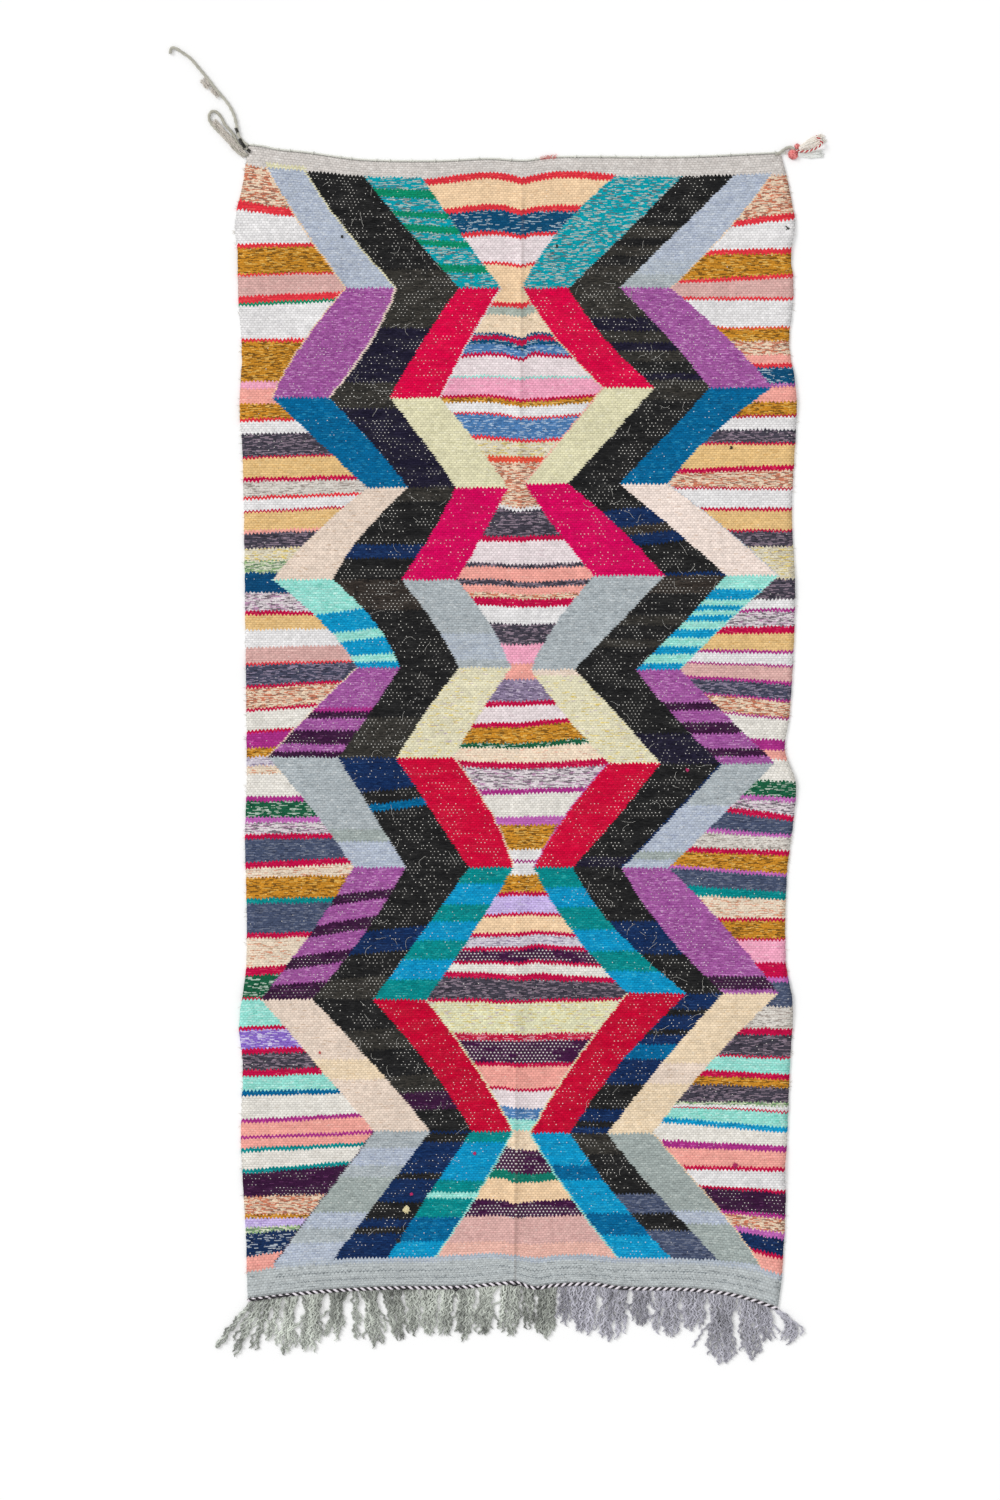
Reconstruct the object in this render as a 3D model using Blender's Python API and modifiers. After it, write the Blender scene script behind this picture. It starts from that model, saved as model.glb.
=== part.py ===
"""Boucherouite rug laid out flat: a flatwoven cloth with soft folds, a heading cord along its top edge, a
twined cord and a knotless fringe along its bottom edge, a loose tail and loop of yarn at one corner and a
woolly tassel at the other.

+X runs to the right, +Y runs along the warp towards the top heading, +Z is up. The origin is the centre of
the cloth's underside, on the floor. Tables are in millimetres and are turned into metres where they are read.
"""

import math

import bmesh
import bpy
from mathutils import Vector

MM = 0.001

# Cloth
RUG_WIDTH = 1.246
RUG_LENGTH = 2.558
CLOTH_THICK = 0.004
COLUMNS = 28  # cells across the cloth
ROWS = 64  # cells along the cloth
GAP = 0.00035  # between pieces that touch

# Cords
END_CORD_LOBE = 0.0045  # from the twined cord's centre to the crown of a strand
END_CORD_VALLEY = 0.0034  # from its centre to the groove between the strands
END_CORD_PITCH = 0.0154  # one full turn of the two strands
END_CORD_FLIP = 0.050  # x where the twining changes hand
TURN_STEPS = 6  # sections in one turn of a twisted cord
HEADING_RADIUS = 0.003
HEADING_SIDES = 6
TAIL_LOBE = 0.0038
TAIL_VALLEY = 0.0030
TAIL_PITCH = 0.036
LOOP_RADIUS = 0.0035
LOOP_SIDES = 8
LOOP_STEP = 0.008  # between the loop's sections
ROUTE_STEPS = 4  # between two points of a route

# Fringe
STRIP_DEPTH = 0.004  # of the narrow band that holds the roots, along Y
STRIP_HEIGHT = 0.004
STRAND_PITCH = 0.0085
ROOT_SHARE = 0.66  # of the pitch that a strand's root fills
TIP_WIDTH = 0.0040
TIP_HEIGHT = 0.003
TIP_SHARE = 0.7  # of the pitch at a lock's tip that a strand may fill
STRAND_STEPS = 3
SLANT_SHARE = 0.3  # least share of its width that a slanting strand keeps
SHORTER_EDGE = 0.16  # share by which a lock's outer strands fall short of its middle one

# Tassel
NECK_LENGTH = 0.012  # of the heading cord past the cloth's corner
HEAD_LENGTH = 0.018
HEAD_WIDTH = 0.020
HEAD_HEIGHT = 0.011
LOCK_ROOT_SHARE = 0.8  # of the head's face, shared out evenly, that the locks' roots fill
LOCK_SECTIONS = ((0.35, 0.0026, 0.010), (0.75, 0.0042, 0.009), (1, 0.0030, 0.006))  # share, half width, high

# How far each edge stands off its straight line. Left and right: distance down from the top edge, shift to
# the right. Top and bottom: distance to the right of the centre line, shift away from the cloth.
LEFT_EDGE = (
    (0, 15), (73, 3), (150, -15), (209, -9), (322, -7), (438, 1), (563, -4), (686, 3), (1003, 8),
    (1410, 12), (1539, 8), (1714, 12), (1843, 10), (1965, -5), (2061, 3), (2229, -1), (2438, 10), (2558, 14),
)
RIGHT_EDGE = (
    (0, -22), (61, -6), (152, 10), (213, 1), (300, 7), (424, -3), (500, 9), (572, 14), (797, 3), (969, 10),
    (1160, 5), (1276, -4), (1345, -13), (1423, 12), (1568, -2), (1637, -9), (1816, -11), (1930, 5),
    (2048, -1), (2229, -8), (2299, -13), (2370, -11), (2508, -20), (2558, -28),
)
TOP_EDGE = (
    (-608, 27), (-577, 24), (-545, 17), (-479, 10), (-350, -7), (-182, -10), (-61, -5), (20, -9), (82, -1),
    (372, -1), (601, 9),
)
BOTTOM_EDGE = (
    (-606, 29), (-520, 18), (-429, 9), (-288, 2), (-127, 0), (-36, -8), (2, -10), (43, 2), (84, -4),
    (173, -7), (241, 2), (381, 5), (474, 14), (538, 29), (595, 49),
)

# Low ripples where the cloth stands off the floor: place, half length, half width, direction, height.
RIPPLES = (
    {"x": -520, "y": 1060, "long": 190, "wide": 75, "degrees": 10, "high": 5},
    {"x": -560, "y": 700, "long": 170, "wide": 80, "degrees": -6, "high": 4},
    {"x": -540, "y": 130, "long": 180, "wide": 85, "degrees": 4, "high": 3},
    {"x": -540, "y": -655, "long": 210, "wide": 80, "degrees": -4, "high": 5},
    {"x": -560, "y": -1000, "long": 150, "wide": 75, "degrees": 8, "high": 3},
    {"x": 540, "y": 1110, "long": 170, "wide": 75, "degrees": -12, "high": 5},
    {"x": 550, "y": 740, "long": 190, "wide": 80, "degrees": 5, "high": 4},
    {"x": 560, "y": 300, "long": 160, "wide": 80, "degrees": 0, "high": 3},
    {"x": 520, "y": -110, "long": 220, "wide": 85, "degrees": -9, "high": 6},
    {"x": 540, "y": -640, "long": 190, "wide": 80, "degrees": 3, "high": 5},
    {"x": 550, "y": -1010, "long": 160, "wide": 75, "degrees": -5, "high": 4},
)

# The lengthwise crease where the rug was folded in half, in two runs that leave the middle flat.
CREASE = (
    {"from": 1240, "to": 110, "high": 4},
    {"from": -110, "to": -1240, "high": 5},
)
CREASE_FADE = 0.12  # run over which the crease rises from the floor

# Locks of fringe: where the lock's root ends, where its tip lies and how wide it is there, how far the tip
# reaches below the straight bottom edge, and how early its strands bend (0.5 is a straight strand).
FRINGE_START = -604
GREEN_LOCKS = (
    {"root_to": -588, "tip": -679, "half": 9, "below": 145, "bend": 0.5},
    {"root_to": -570, "tip": -636, "half": 12, "below": 161, "bend": 0.5},
    {"root_to": -545, "tip": -597, "half": 13, "below": 148, "bend": 0.5},
    {"root_to": -527, "tip": -559, "half": 9, "below": 127, "bend": 0.6},
    {"root_to": -490, "tip": -522, "half": 18, "below": 157, "bend": 0.7},
    {"root_to": -429, "tip": -466, "half": 23, "below": 152, "bend": 0.8},
    {"root_to": -372, "tip": -414, "half": 17, "below": 125, "bend": 0.7},
    {"root_to": -359, "tip": -361, "half": 4, "below": 143, "bend": 0.0},
    {"root_to": -309, "tip": -320, "half": 20, "below": 143, "bend": 0.7},
    {"root_to": -259, "tip": -266, "half": 14, "below": 127, "bend": 0.6},
    {"root_to": -218, "tip": -232, "half": 10, "below": 116, "bend": 0.8},
    {"root_to": -173, "tip": -196, "half": 14, "below": 114, "bend": 0.7},
    {"root_to": -134, "tip": -160, "half": 13, "below": 120, "bend": 0.6},
    {"root_to": -91, "tip": -118, "half": 13, "below": 127, "bend": 0.6},
    {"root_to": -36, "tip": -76, "half": 17, "below": 116, "bend": 0.7},
    {"root_to": 14, "tip": -16, "half": 18, "below": 116, "bend": 0.6},
    {"root_to": 45, "tip": 27, "half": 12, "below": 104, "bend": 0.5},
    {"root_to": 95, "tip": 66, "half": 16, "below": 123, "bend": 0.5},
)
LILAC_LOCKS = (
    {"root_to": 136, "tip": 114, "half": 18, "below": 93, "bend": 0.5},
    {"root_to": 186, "tip": 155, "half": 17, "below": 114, "bend": 0.5},
    {"root_to": 259, "tip": 215, "half": 27, "below": 127, "bend": 0.5},
    {"root_to": 309, "tip": 284, "half": 18, "below": 91, "bend": 0.5},
    {"root_to": 377, "tip": 345, "half": 26, "below": 118, "bend": 0.5},
    {"root_to": 431, "tip": 403, "half": 20, "below": 104, "bend": 0.5},
    {"root_to": 504, "tip": 466, "half": 27, "below": 179, "bend": 0.6},
    {"root_to": 563, "tip": 536, "half": 21, "below": 170, "bend": 0.5},
    {"root_to": 577, "tip": 577, "half": 5, "below": 129, "bend": 0.5},
    {"root_to": 590, "tip": 624, "half": 4, "below": 136, "bend": 1.5},
)

# Tips of the tassel's woolly locks, from the upper one round to the lower one, as places on the floor.
TASSEL_TIPS = ((684, 1338), (705, 1326), (703, 1307), (692, 1288), (667, 1277))
TASSEL_CENTRE_Y = 1293

# Routes on the floor, from the far end to the cloth.
TAIL_ROUTE = (
    (-784, 1516), (-784, 1525), (-775, 1529), (-757, 1518), (-739, 1505), (-719, 1482), (-698, 1457),
    (-683, 1437), (-669, 1421), (-653, 1401), (-642, 1381), (-636, 1362), (-633, 1345), (-630, 1331),
    (-622, 1318),
)
LOOP_ROUTE = (
    (-628, 1290), (-645, 1309), (-667, 1331), (-684, 1348), (-695, 1363), (-696, 1377), (-688, 1385),
    (-677, 1381), (-668, 1369), (-661, 1355), (-651, 1344), (-642, 1333), (-634, 1317), (-625, 1305),
)
LOOP_ENDS_Y = (1286, 1299)  # where its two ends meet the cloth's left edge


def smooth(table, station):
    """The height of a soft curve through a table's rows at a station, with everything in metres."""
    rows = [(far * MM, height * MM) for far, height in table]
    if station <= rows[0][0]:
        return rows[0][1]
    if station >= rows[-1][0]:
        return rows[-1][1]
    i = max(k for k in range(len(rows) - 1) if rows[k][0] <= station)
    start, end = rows[i], rows[i + 1]
    before, after = rows[max(i - 1, 0)], rows[min(i + 2, len(rows) - 1)]
    span = end[0] - start[0]
    t = (station - start[0]) / span
    slope_start = (end[1] - before[1]) / (end[0] - before[0]) * span
    slope_end = (after[1] - start[1]) / (after[0] - start[0]) * span
    return (
        start[1] * (1 + 2 * t) * (1 - t) ** 2
        + slope_start * t * (1 - t) ** 2
        + end[1] * t * t * (3 - 2 * t)
        + slope_end * t * t * (t - 1)
    )


def on_cloth(across, down):
    """Where a share across and a share down the cloth lies on the floor, with 0, 0 at the top left corner."""
    far = down * RUG_LENGTH
    left = -RUG_WIDTH / 2 + smooth(LEFT_EDGE, far)
    right = RUG_WIDTH / 2 + smooth(RIGHT_EDGE, far)
    x = left + (right - left) * across
    top = RUG_LENGTH / 2 + smooth(TOP_EDGE, x)
    bottom = -RUG_LENGTH / 2 - smooth(BOTTOM_EDGE, x)
    return Vector((x, top + (bottom - top) * down, 0))


def swell(share):
    """A soft hump: 1 in the middle, 0 with no slope at a share of 1 and past it."""
    return (1 - share * share) ** 2 if share < 1 else 0


def lift(x, y, across):
    """How high the cloth's underside stands above the floor."""
    height = 0
    for ripple in RIPPLES:
        turn = math.radians(ripple["degrees"])
        dx, dy = x - ripple["x"] * MM, y - ripple["y"] * MM
        along = abs(dx * math.cos(turn) + dy * math.sin(turn)) / (ripple["long"] * MM)
        aside = abs(dy * math.cos(turn) - dx * math.sin(turn)) / (ripple["wide"] * MM)
        height = max(height, ripple["high"] * MM * swell(along) * swell(aside))
    if abs(across - 0.5) < 0.5 / COLUMNS:
        for run in CREASE:
            inside = min(run["from"] * MM - y, y - run["to"] * MM)
            rise = min(max(inside / CREASE_FADE, 0), 1)
            height = max(height, run["high"] * MM * rise)
    return height


def material(name, colour, roughness):
    made = bpy.data.materials.new(name)
    made.use_nodes = True
    shader = made.node_tree.nodes["Principled BSDF"]
    shader.inputs["Base Color"].default_value = (*colour, 1)
    shader.inputs["Roughness"].default_value = roughness
    shader.inputs["Metallic"].default_value = 0
    return made


def place(name, mesh, finish):
    """Puts a finished mesh into the rug's collection, under its origin."""
    data = bpy.data.meshes.new(name)
    mesh.to_mesh(data)
    mesh.free()
    data.materials.append(finish)
    made = bpy.data.objects.new(name, data)
    made.parent = rug_origin
    rug.objects.link(made)
    return made


def loft(rings):
    """A closed skin over rings with the same number of points, capped at both ends."""
    mesh = bmesh.new()
    loops = [[mesh.verts.new(point) for point in ring] for ring in rings]
    for near, far in zip(loops, loops[1:], strict=False):
        for i in range(len(near)):
            j = (i + 1) % len(near)
            mesh.faces.new((near[i], near[j], far[j], far[i]))
    mesh.faces.new(loops[0])
    mesh.faces.new(loops[-1])
    bmesh.ops.recalc_face_normals(mesh, faces=mesh.faces)
    return mesh


def direction(path, i):
    return (path[min(i + 1, len(path) - 1)] - path[max(i - 1, 0)]).normalized()


def section(centre, along, radii, turn):
    """A ring of points around a cord that lies on the floor, one for each radius."""
    aside = along.cross(Vector((0, 0, 1))).normalized()
    up = aside.cross(along)
    ring = []
    for i, radius in enumerate(radii):
        angle = turn + 2 * math.pi * i / len(radii)
        ring.append(centre + aside * radius * math.cos(angle) + up * radius * math.sin(angle))
    return ring


def resampled(path, step):
    """Points a step apart along a path of straight runs, from its first point to its last."""
    runs = [(b - a).length for a, b in zip(path, path[1:], strict=False)]
    count = round(sum(runs) / step)
    points, run, passed = [], 0, 0
    for i in range(count + 1):
        far = sum(runs) * i / count
        while run < len(runs) - 1 and far > passed + runs[run]:
            passed += runs[run]
            run += 1
        points.append(path[run].lerp(path[run + 1], (far - passed) / runs[run]))
    return points


def curved(points, steps):
    """A soft curve through a route's points, with steps sections between each two of them."""
    path = []
    for i in range(len(points) - 1):
        start, end = points[i], points[i + 1]
        before, after = points[max(i - 1, 0)], points[min(i + 2, len(points) - 1)]
        for k in range(steps):
            t = k / steps
            path.append(
                start * ((1 + 2 * t) * (1 - t) ** 2)
                + (end - before) * (t * (1 - t) ** 2 / 2)
                + end * (t * t * (3 - 2 * t))
                + (after - start) * (t * t * (t - 1) / 2)
            )
    return [*path, points[-1]]


def edge_points(down):
    """The corners of the cloth's cells along its top edge, at 0, or its bottom edge, at 1."""
    return [on_cloth(i / COLUMNS, down) for i in range(COLUMNS + 1)]


def beside(edge, distance):
    """An edge's points moved square to it, up the page for a positive distance."""
    moved = []
    for i, point in enumerate(edge):
        along = direction(edge, i)
        moved.append(point + Vector((-along.y, along.x, 0)) * distance)
    return moved


def at_x(edge, x):
    """The point of an edge at x, also past its two ends."""
    i = max([k for k in range(len(edge) - 1) if edge[k].x <= x], default=0)
    return edge[i].lerp(edge[i + 1], (x - edge[i].x) / (edge[i + 1].x - edge[i].x))


def left_seat(y, radius):
    """The point at a height y where a round end of yarn meets the cloth's leaning left edge."""
    corner, below = on_cloth(0, 0), on_cloth(0, 1 / ROWS)
    lean = (corner.x - below.x) / (corner.y - below.y)
    edge_x = corner.x - (corner.y - y) * lean
    return Vector((edge_x - abs(lean) * radius - GAP, y, 0))


def make_cloth():
    mesh = bmesh.new()
    bmesh.ops.create_grid(mesh, x_segments=COLUMNS, y_segments=ROWS, size=0.5)
    for vert in mesh.verts:
        across = vert.co.x + 0.5
        spot = on_cloth(across, 0.5 - vert.co.y)
        vert.co = (spot.x, spot.y, lift(spot.x, spot.y, across))
    made = place("rug_cloth", mesh, material("woven_wool", (0.42, 0.22, 0.24), 0.95))
    thick = made.modifiers.new("cloth_thickness", "SOLIDIFY")
    thick.thickness = CLOTH_THICK
    thick.offset = 1


def make_end_cord():
    """Two strands twined over each other, drawn as one section with two crowns that turns as it goes."""
    line = beside(edge_points(1), -(END_CORD_LOBE + GAP))
    path = resampled(line, END_CORD_PITCH / TURN_STEPS)
    rings = []
    for i, point in enumerate(path):
        centre = point + Vector((0, 0, END_CORD_LOBE))
        turn = 2 * math.pi * abs(point.x - END_CORD_FLIP) / END_CORD_PITCH
        radii = (END_CORD_LOBE, END_CORD_VALLEY) * 2
        rings.append(section(centre, direction(path, i), radii, turn))
    place("end_cord", loft(rings), material("twined_yarn", (0.3, 0.28, 0.32), 0.9))


def make_heading_cord():
    """A plain cord against the top edge, which runs on past the right corner into the tassel's head."""
    path = beside(edge_points(0), HEADING_RADIUS + GAP)
    neck = Vector((path[-1].x + NECK_LENGTH, TASSEL_CENTRE_Y * MM, 0))
    path += [path[-1].lerp(neck, 0.5), neck]
    up = Vector((0, 0, HEADING_RADIUS * math.cos(math.pi / HEADING_SIDES)))
    radii = (HEADING_RADIUS,) * HEADING_SIDES
    rings = [section(point + up, direction(path, i), radii, 0) for i, point in enumerate(path)]
    place("heading_cord", loft(rings), material("heading_yarn", (0.5, 0.48, 0.44), 0.95))
    return neck.x


def make_tail():
    """The heading cord's loose end, two plies turned round each other, lying on the floor."""
    seat = beside(edge_points(0), HEADING_RADIUS + GAP)[0]
    route = [Vector((x * MM, y * MM, 0)) for x, y in TAIL_ROUTE]
    route.append(seat - Vector((GAP + TAIL_LOBE, 0, 0)))
    route.append(seat - Vector((GAP, 0, 0)))
    path = resampled(curved(route, ROUTE_STEPS), TAIL_PITCH / TURN_STEPS)
    up = Vector((0, 0, TAIL_LOBE * math.cos(math.pi / TURN_STEPS)))
    side = (TAIL_LOBE, (TAIL_LOBE + TAIL_VALLEY) / 2, TAIL_VALLEY, (TAIL_LOBE + TAIL_VALLEY) / 2)
    rings = [
        section(point + up, direction(path, i), side * 2, math.pi * 2 * i / TURN_STEPS)
        for i, point in enumerate(path)
    ]
    place("corner_tail", loft(rings), material("tail_yarn", (0.45, 0.43, 0.38), 0.95))


def make_loop():
    """A doubled end of yarn that leaves the cloth's left edge and comes back to it."""
    ends = [left_seat(y * MM, LOOP_RADIUS) for y in LOOP_ENDS_Y]
    inwards = Vector((2 * LOOP_RADIUS, 0, 0))
    route = [Vector((x * MM, y * MM, 0)) for x, y in LOOP_ROUTE]
    route = [ends[0], ends[0] - inwards, *route, ends[1] - inwards, ends[1]]
    path = resampled(curved(route, ROUTE_STEPS), LOOP_STEP)
    up = Vector((0, 0, LOOP_RADIUS))
    radii = (LOOP_RADIUS,) * LOOP_SIDES
    rings = [section(point + up, direction(path, i), radii, 0) for i, point in enumerate(path)]
    place("corner_loop", loft(rings), material("loop_yarn", (0.42, 0.4, 0.36), 0.95))


def comb(strands):
    """A narrow strip with a strand drawn out of its front face for each entry of strands.

    An entry holds the strip's back and front points at the root's two sides, the strip's height, and the
    sections of the strand as centre, half its width as a vector, and height.
    """
    mesh = bmesh.new()
    posts = []
    for strand in strands:
        for back, front in strand["sides"]:
            up = Vector((0, 0, strand["height"]))
            posts.append([mesh.verts.new(point) for point in (back, back + up, front + up, front)])
    mesh.faces.new(posts[0])
    mesh.faces.new(posts[-1])
    fronts = []
    for near, far in zip(posts, posts[1:], strict=False):
        walls = [mesh.faces.new((near[i], near[i - 3], far[i - 3], far[i])) for i in range(4)]
        fronts.append(walls[2])
    for root, strand in zip(fronts[::2], strands, strict=True):
        near_side = [vert.co.copy() for vert in root.verts]
        middle = sum(near_side, Vector()) / 4
        face = root
        for centre, half, height in strand["sections"]:
            drawn = bmesh.ops.extrude_face_region(mesh, geom=[face])["geom"]
            bmesh.ops.delete(mesh, geom=[face], context="FACES_ONLY")
            face = next(item for item in drawn if isinstance(item, bmesh.types.BMFace))
            for vert, start in zip(face.verts, near_side, strict=True):
                side = 1 if (start - middle).dot(half) > 0 else -1
                vert.co = centre + half * side + Vector((0, 0, height if start.z > middle.z else 0))
    bmesh.ops.recalc_face_normals(mesh, faces=mesh.faces)
    return mesh


def fringe_strands(locks, start, back_line, front_line):
    """Entries for comb: the strands of each lock, which gather towards the lock's tip."""
    strands = []
    for lock in locks:
        end = lock["root_to"] * MM
        count = max(round((end - start) / STRAND_PITCH), 1)
        pitch = (end - start) / count
        tip_pitch = 2 * lock["half"] * MM / count
        for i in range(count):
            x = start + (i + 0.5) * pitch
            reach = (i + 0.5) / count * 2 - 1
            half_root = pitch * ROOT_SHARE / 2
            posts = (x - half_root, x + half_root)
            sides = [(at_x(back_line, post), at_x(front_line, post)) for post in posts]
            root = (sides[0][1] + sides[1][1]) / 2
            line = -RUG_LENGTH / 2
            below = line - lock["below"] * MM
            tip_y = below + (root.y - below) * SHORTER_EDGE * reach * reach
            tip = Vector((lock["tip"] * MM + reach * lock["half"] * MM, tip_y, 0))
            bend = Vector((root.x + (tip.x - root.x) * lock["bend"], (root.y + tip.y) / 2, 0))
            sections = []
            for k in range(1, STRAND_STEPS + 1):
                t = k / STRAND_STEPS
                centre = root * (1 - t) ** 2 + bend * 2 * t * (1 - t) + tip * t * t
                along = ((bend - root) * (1 - t) + (tip - bend) * t).normalized()
                across = Vector((-along.y, along.x, 0))
                wide = half_root * (1 - t) + min(TIP_WIDTH, tip_pitch * TIP_SHARE) / 2 * t
                square = max(abs(across.x), SLANT_SHARE)
                height = STRIP_HEIGHT + (TIP_HEIGHT - STRIP_HEIGHT) * t
                sections.append((centre, across * wide * square, height))
            strands.append({"sides": sides, "height": STRIP_HEIGHT, "sections": sections})
        start = end
    return strands


def make_fringes():
    edge = edge_points(1)
    back = -(2 * END_CORD_LOBE + 2 * GAP)
    back_line, front_line = beside(edge, back), beside(edge, back - STRIP_DEPTH)
    green = fringe_strands(GREEN_LOCKS, FRINGE_START * MM, back_line, front_line)
    lilac = fringe_strands(LILAC_LOCKS, GREEN_LOCKS[-1]["root_to"] * MM, back_line, front_line)
    place("fringe_left", comb(green), material("green_grey_yarn", (0.3, 0.32, 0.28), 0.95))
    place("fringe_right", comb(lilac), material("lilac_grey_yarn", (0.37, 0.36, 0.42), 0.95))


def make_tassel(neck_x):
    """A bound head at the heading cord's end, with woolly locks fanned out of its far face."""
    front_x = neck_x + GAP + HEAD_LENGTH
    pitch = HEAD_WIDTH / len(TASSEL_TIPS)
    strands = []
    for i, (tip_x, tip_y) in enumerate(TASSEL_TIPS):
        offsets = [HEAD_WIDTH / 2 - (i + 0.5 - s * LOCK_ROOT_SHARE / 2) * pitch for s in (1, -1)]
        sides = []
        for offset in offsets:
            y = TASSEL_CENTRE_Y * MM + offset
            round_back = HEAD_LENGTH * math.sqrt(1 - (offset / HEAD_WIDTH * 2) ** 2)
            sides.append((Vector((front_x - round_back, y, 0)), Vector((front_x, y, 0))))
        root = (sides[0][1] + sides[1][1]) / 2
        tip = Vector((tip_x * MM, tip_y * MM, 0))
        along = (tip - root).normalized()
        across = Vector((-along.y, along.x, 0))
        sections = [(root.lerp(tip, share), across * half, height) for share, half, height in LOCK_SECTIONS]
        strands.append({"sides": sides, "height": HEAD_HEIGHT, "sections": sections})
    place("corner_tassel", comb(strands), material("tassel_wool", (0.6, 0.52, 0.46), 0.95))


for thing in list(bpy.data.objects):
    bpy.data.objects.remove(thing, do_unlink=True)
rug = bpy.data.collections.new("boucherouite_rug")
bpy.context.scene.collection.children.link(rug)
rug_origin = bpy.data.objects.new("rug_origin", None)
rug.objects.link(rug_origin)

make_cloth()
make_end_cord()
neck_end = make_heading_cord()
make_tail()
make_loop()
make_fringes()
make_tassel(neck_end)
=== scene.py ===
# %% [markdown]
# # A flatwoven boucherouite rug, laid out flat
# The rug is a thick cloth of rag and wool yarn: zigzag bands over narrow stripes, a plain heading at each
# end, a twined cord and a loose fringe at the near end, and the ends of the heading cord tied off at the two
# far corners. It lies on the floor and is seen from straight above, so nearly all of its looks are in the
# weave. This lesson builds it from the outside in: camera, cords, cloth, fringe, tassel, and last the light.

# %% Load the frame
import math
import random
from bisect import bisect
from functools import cache

import bpy
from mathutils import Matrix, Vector, noise


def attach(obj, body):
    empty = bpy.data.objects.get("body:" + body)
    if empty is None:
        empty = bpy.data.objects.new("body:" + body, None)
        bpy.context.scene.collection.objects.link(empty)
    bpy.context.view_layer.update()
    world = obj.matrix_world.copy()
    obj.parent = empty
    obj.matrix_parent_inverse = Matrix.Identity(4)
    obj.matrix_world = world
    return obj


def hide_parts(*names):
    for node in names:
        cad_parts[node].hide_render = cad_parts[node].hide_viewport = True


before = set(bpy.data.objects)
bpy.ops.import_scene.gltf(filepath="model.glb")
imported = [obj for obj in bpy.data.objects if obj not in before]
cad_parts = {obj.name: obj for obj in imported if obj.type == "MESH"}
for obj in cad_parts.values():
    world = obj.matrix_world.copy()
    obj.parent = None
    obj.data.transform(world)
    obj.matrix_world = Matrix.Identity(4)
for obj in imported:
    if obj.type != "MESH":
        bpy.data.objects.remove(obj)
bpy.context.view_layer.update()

MM = 0.001
UP = Vector((0, 0, 1))
print("solids:", ", ".join(sorted(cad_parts)))

# %% [markdown]
# ## The camera
# The photo was taken from straight above with no visible perspective. A long lens far overhead gives the same
# view. An orthographic camera would do so too, but a real lens also works when the camera is moved around.

# %% Camera
PHOTO_SPAN = 3.405  # metres of floor over the height of the photo
PHOTO_CENTRE = (-0.0363, -0.0647)
LENS = 85
SENSOR = 24


def add_object(name, data):
    made = bpy.data.objects.new(name, data)
    bpy.context.scene.collection.objects.link(made)
    return made


camera_data = bpy.data.cameras.new("overhead_camera")
camera_data.sensor_fit = "VERTICAL"
camera_data.sensor_height = SENSOR
camera_data.lens = LENS
camera = add_object("overhead_camera", camera_data)
camera.location = (*PHOTO_CENTRE, PHOTO_SPAN * LENS / SENSOR)
bpy.context.scene.camera = camera
print(f"camera {camera.location.z:.2f} m above the floor")

# %% [markdown]
# ## The outline
# No edge of a handwoven rug is straight. Each edge is a short table of shifts from the straight line, joined
# by a soft curve. The same tables shape the solid underneath, so the dressed cloth fits it. The pattern is
# counted in chart lines, as a weaver counts rows on paper: 1128 of them over the rug's length.

# %% The cloth's outline
RUG_WIDTH = 1.246
RUG_LENGTH = 2.558
CLOTH_THICK = 0.004
GAP = 0.00035
LINES = 1128
LINE = RUG_LENGTH / LINES
EDGE_STEPS = 112


def table(text):
    """Rows of numbers, from text in which a comma ends a row."""
    return [tuple(float(number) for number in row.split()) for row in text.split(",")]


# Millimetres. Left and right: distance down, shift to the right. Top and bottom: x, shift off the cloth.
LEFT_EDGE = table("""
0 15, 73 3, 150 -15, 209 -9, 322 -7, 438 1, 563 -4, 686 3, 1003 8, 1410 12, 1539 8, 1714 12, 1843 10,
1965 -5, 2061 3, 2229 -1, 2438 10, 2558 14
""")
RIGHT_EDGE = table("""
0 -22, 61 -6, 152 10, 213 1, 300 7, 424 -3, 500 9, 572 14, 797 3, 969 10, 1160 5, 1276 -4, 1345 -13,
1423 12, 1568 -2, 1637 -9, 1816 -11, 1930 5, 2048 -1, 2229 -8, 2299 -13, 2370 -11, 2508 -20, 2558 -28
""")
TOP_EDGE = table("""
-608 27, -577 24, -545 17, -479 10, -350 -7, -182 -10, -61 -5, 20 -9, 82 -1, 372 -1, 601 9
""")
BOTTOM_EDGE = table("""
-606 29, -520 18, -429 9, -288 2, -127 0, -36 -8, 2 -10, 43 2, 84 -4, 173 -7, 241 2, 381 5, 474 14,
538 29, 595 49
""")


def four_around(rows, i):
    """Rows i and i + 1 with the rows before and after them, or the nearest ones at the list's ends."""
    return (rows[min(max(k, 0), len(rows) - 1)] for k in range(i - 1, i + 3))


def soft(start, end, slope_start, slope_end, t):
    """A place at a share t of a cubic curve from start to end."""
    return (
        start * ((1 + 2 * t) * (1 - t) ** 2)
        + slope_start * (t * (1 - t) ** 2)
        + end * (t * t * (3 - 2 * t))
        + slope_end * (t * t * (t - 1))
    )


def smooth(rows, station):
    """The height of a soft curve through a table's rows at a station, in metres."""
    at = min(max(station / MM, rows[0][0]), rows[-1][0])
    i = max(k for k in range(len(rows) - 1) if rows[k][0] <= at)
    before, start, end, after = four_around(rows, i)
    span = end[0] - start[0]
    slope_start = (end[1] - before[1]) / (end[0] - before[0]) * span
    slope_end = (after[1] - start[1]) / (after[0] - start[0]) * span
    return MM * soft(start[1], end[1], slope_start, slope_end, (at - start[0]) / span)


def side_edges(far):
    """Where the left and the right edge stand, at a distance down from the top."""
    return -RUG_WIDTH / 2 + smooth(LEFT_EDGE, far), RUG_WIDTH / 2 + smooth(RIGHT_EDGE, far)


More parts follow.
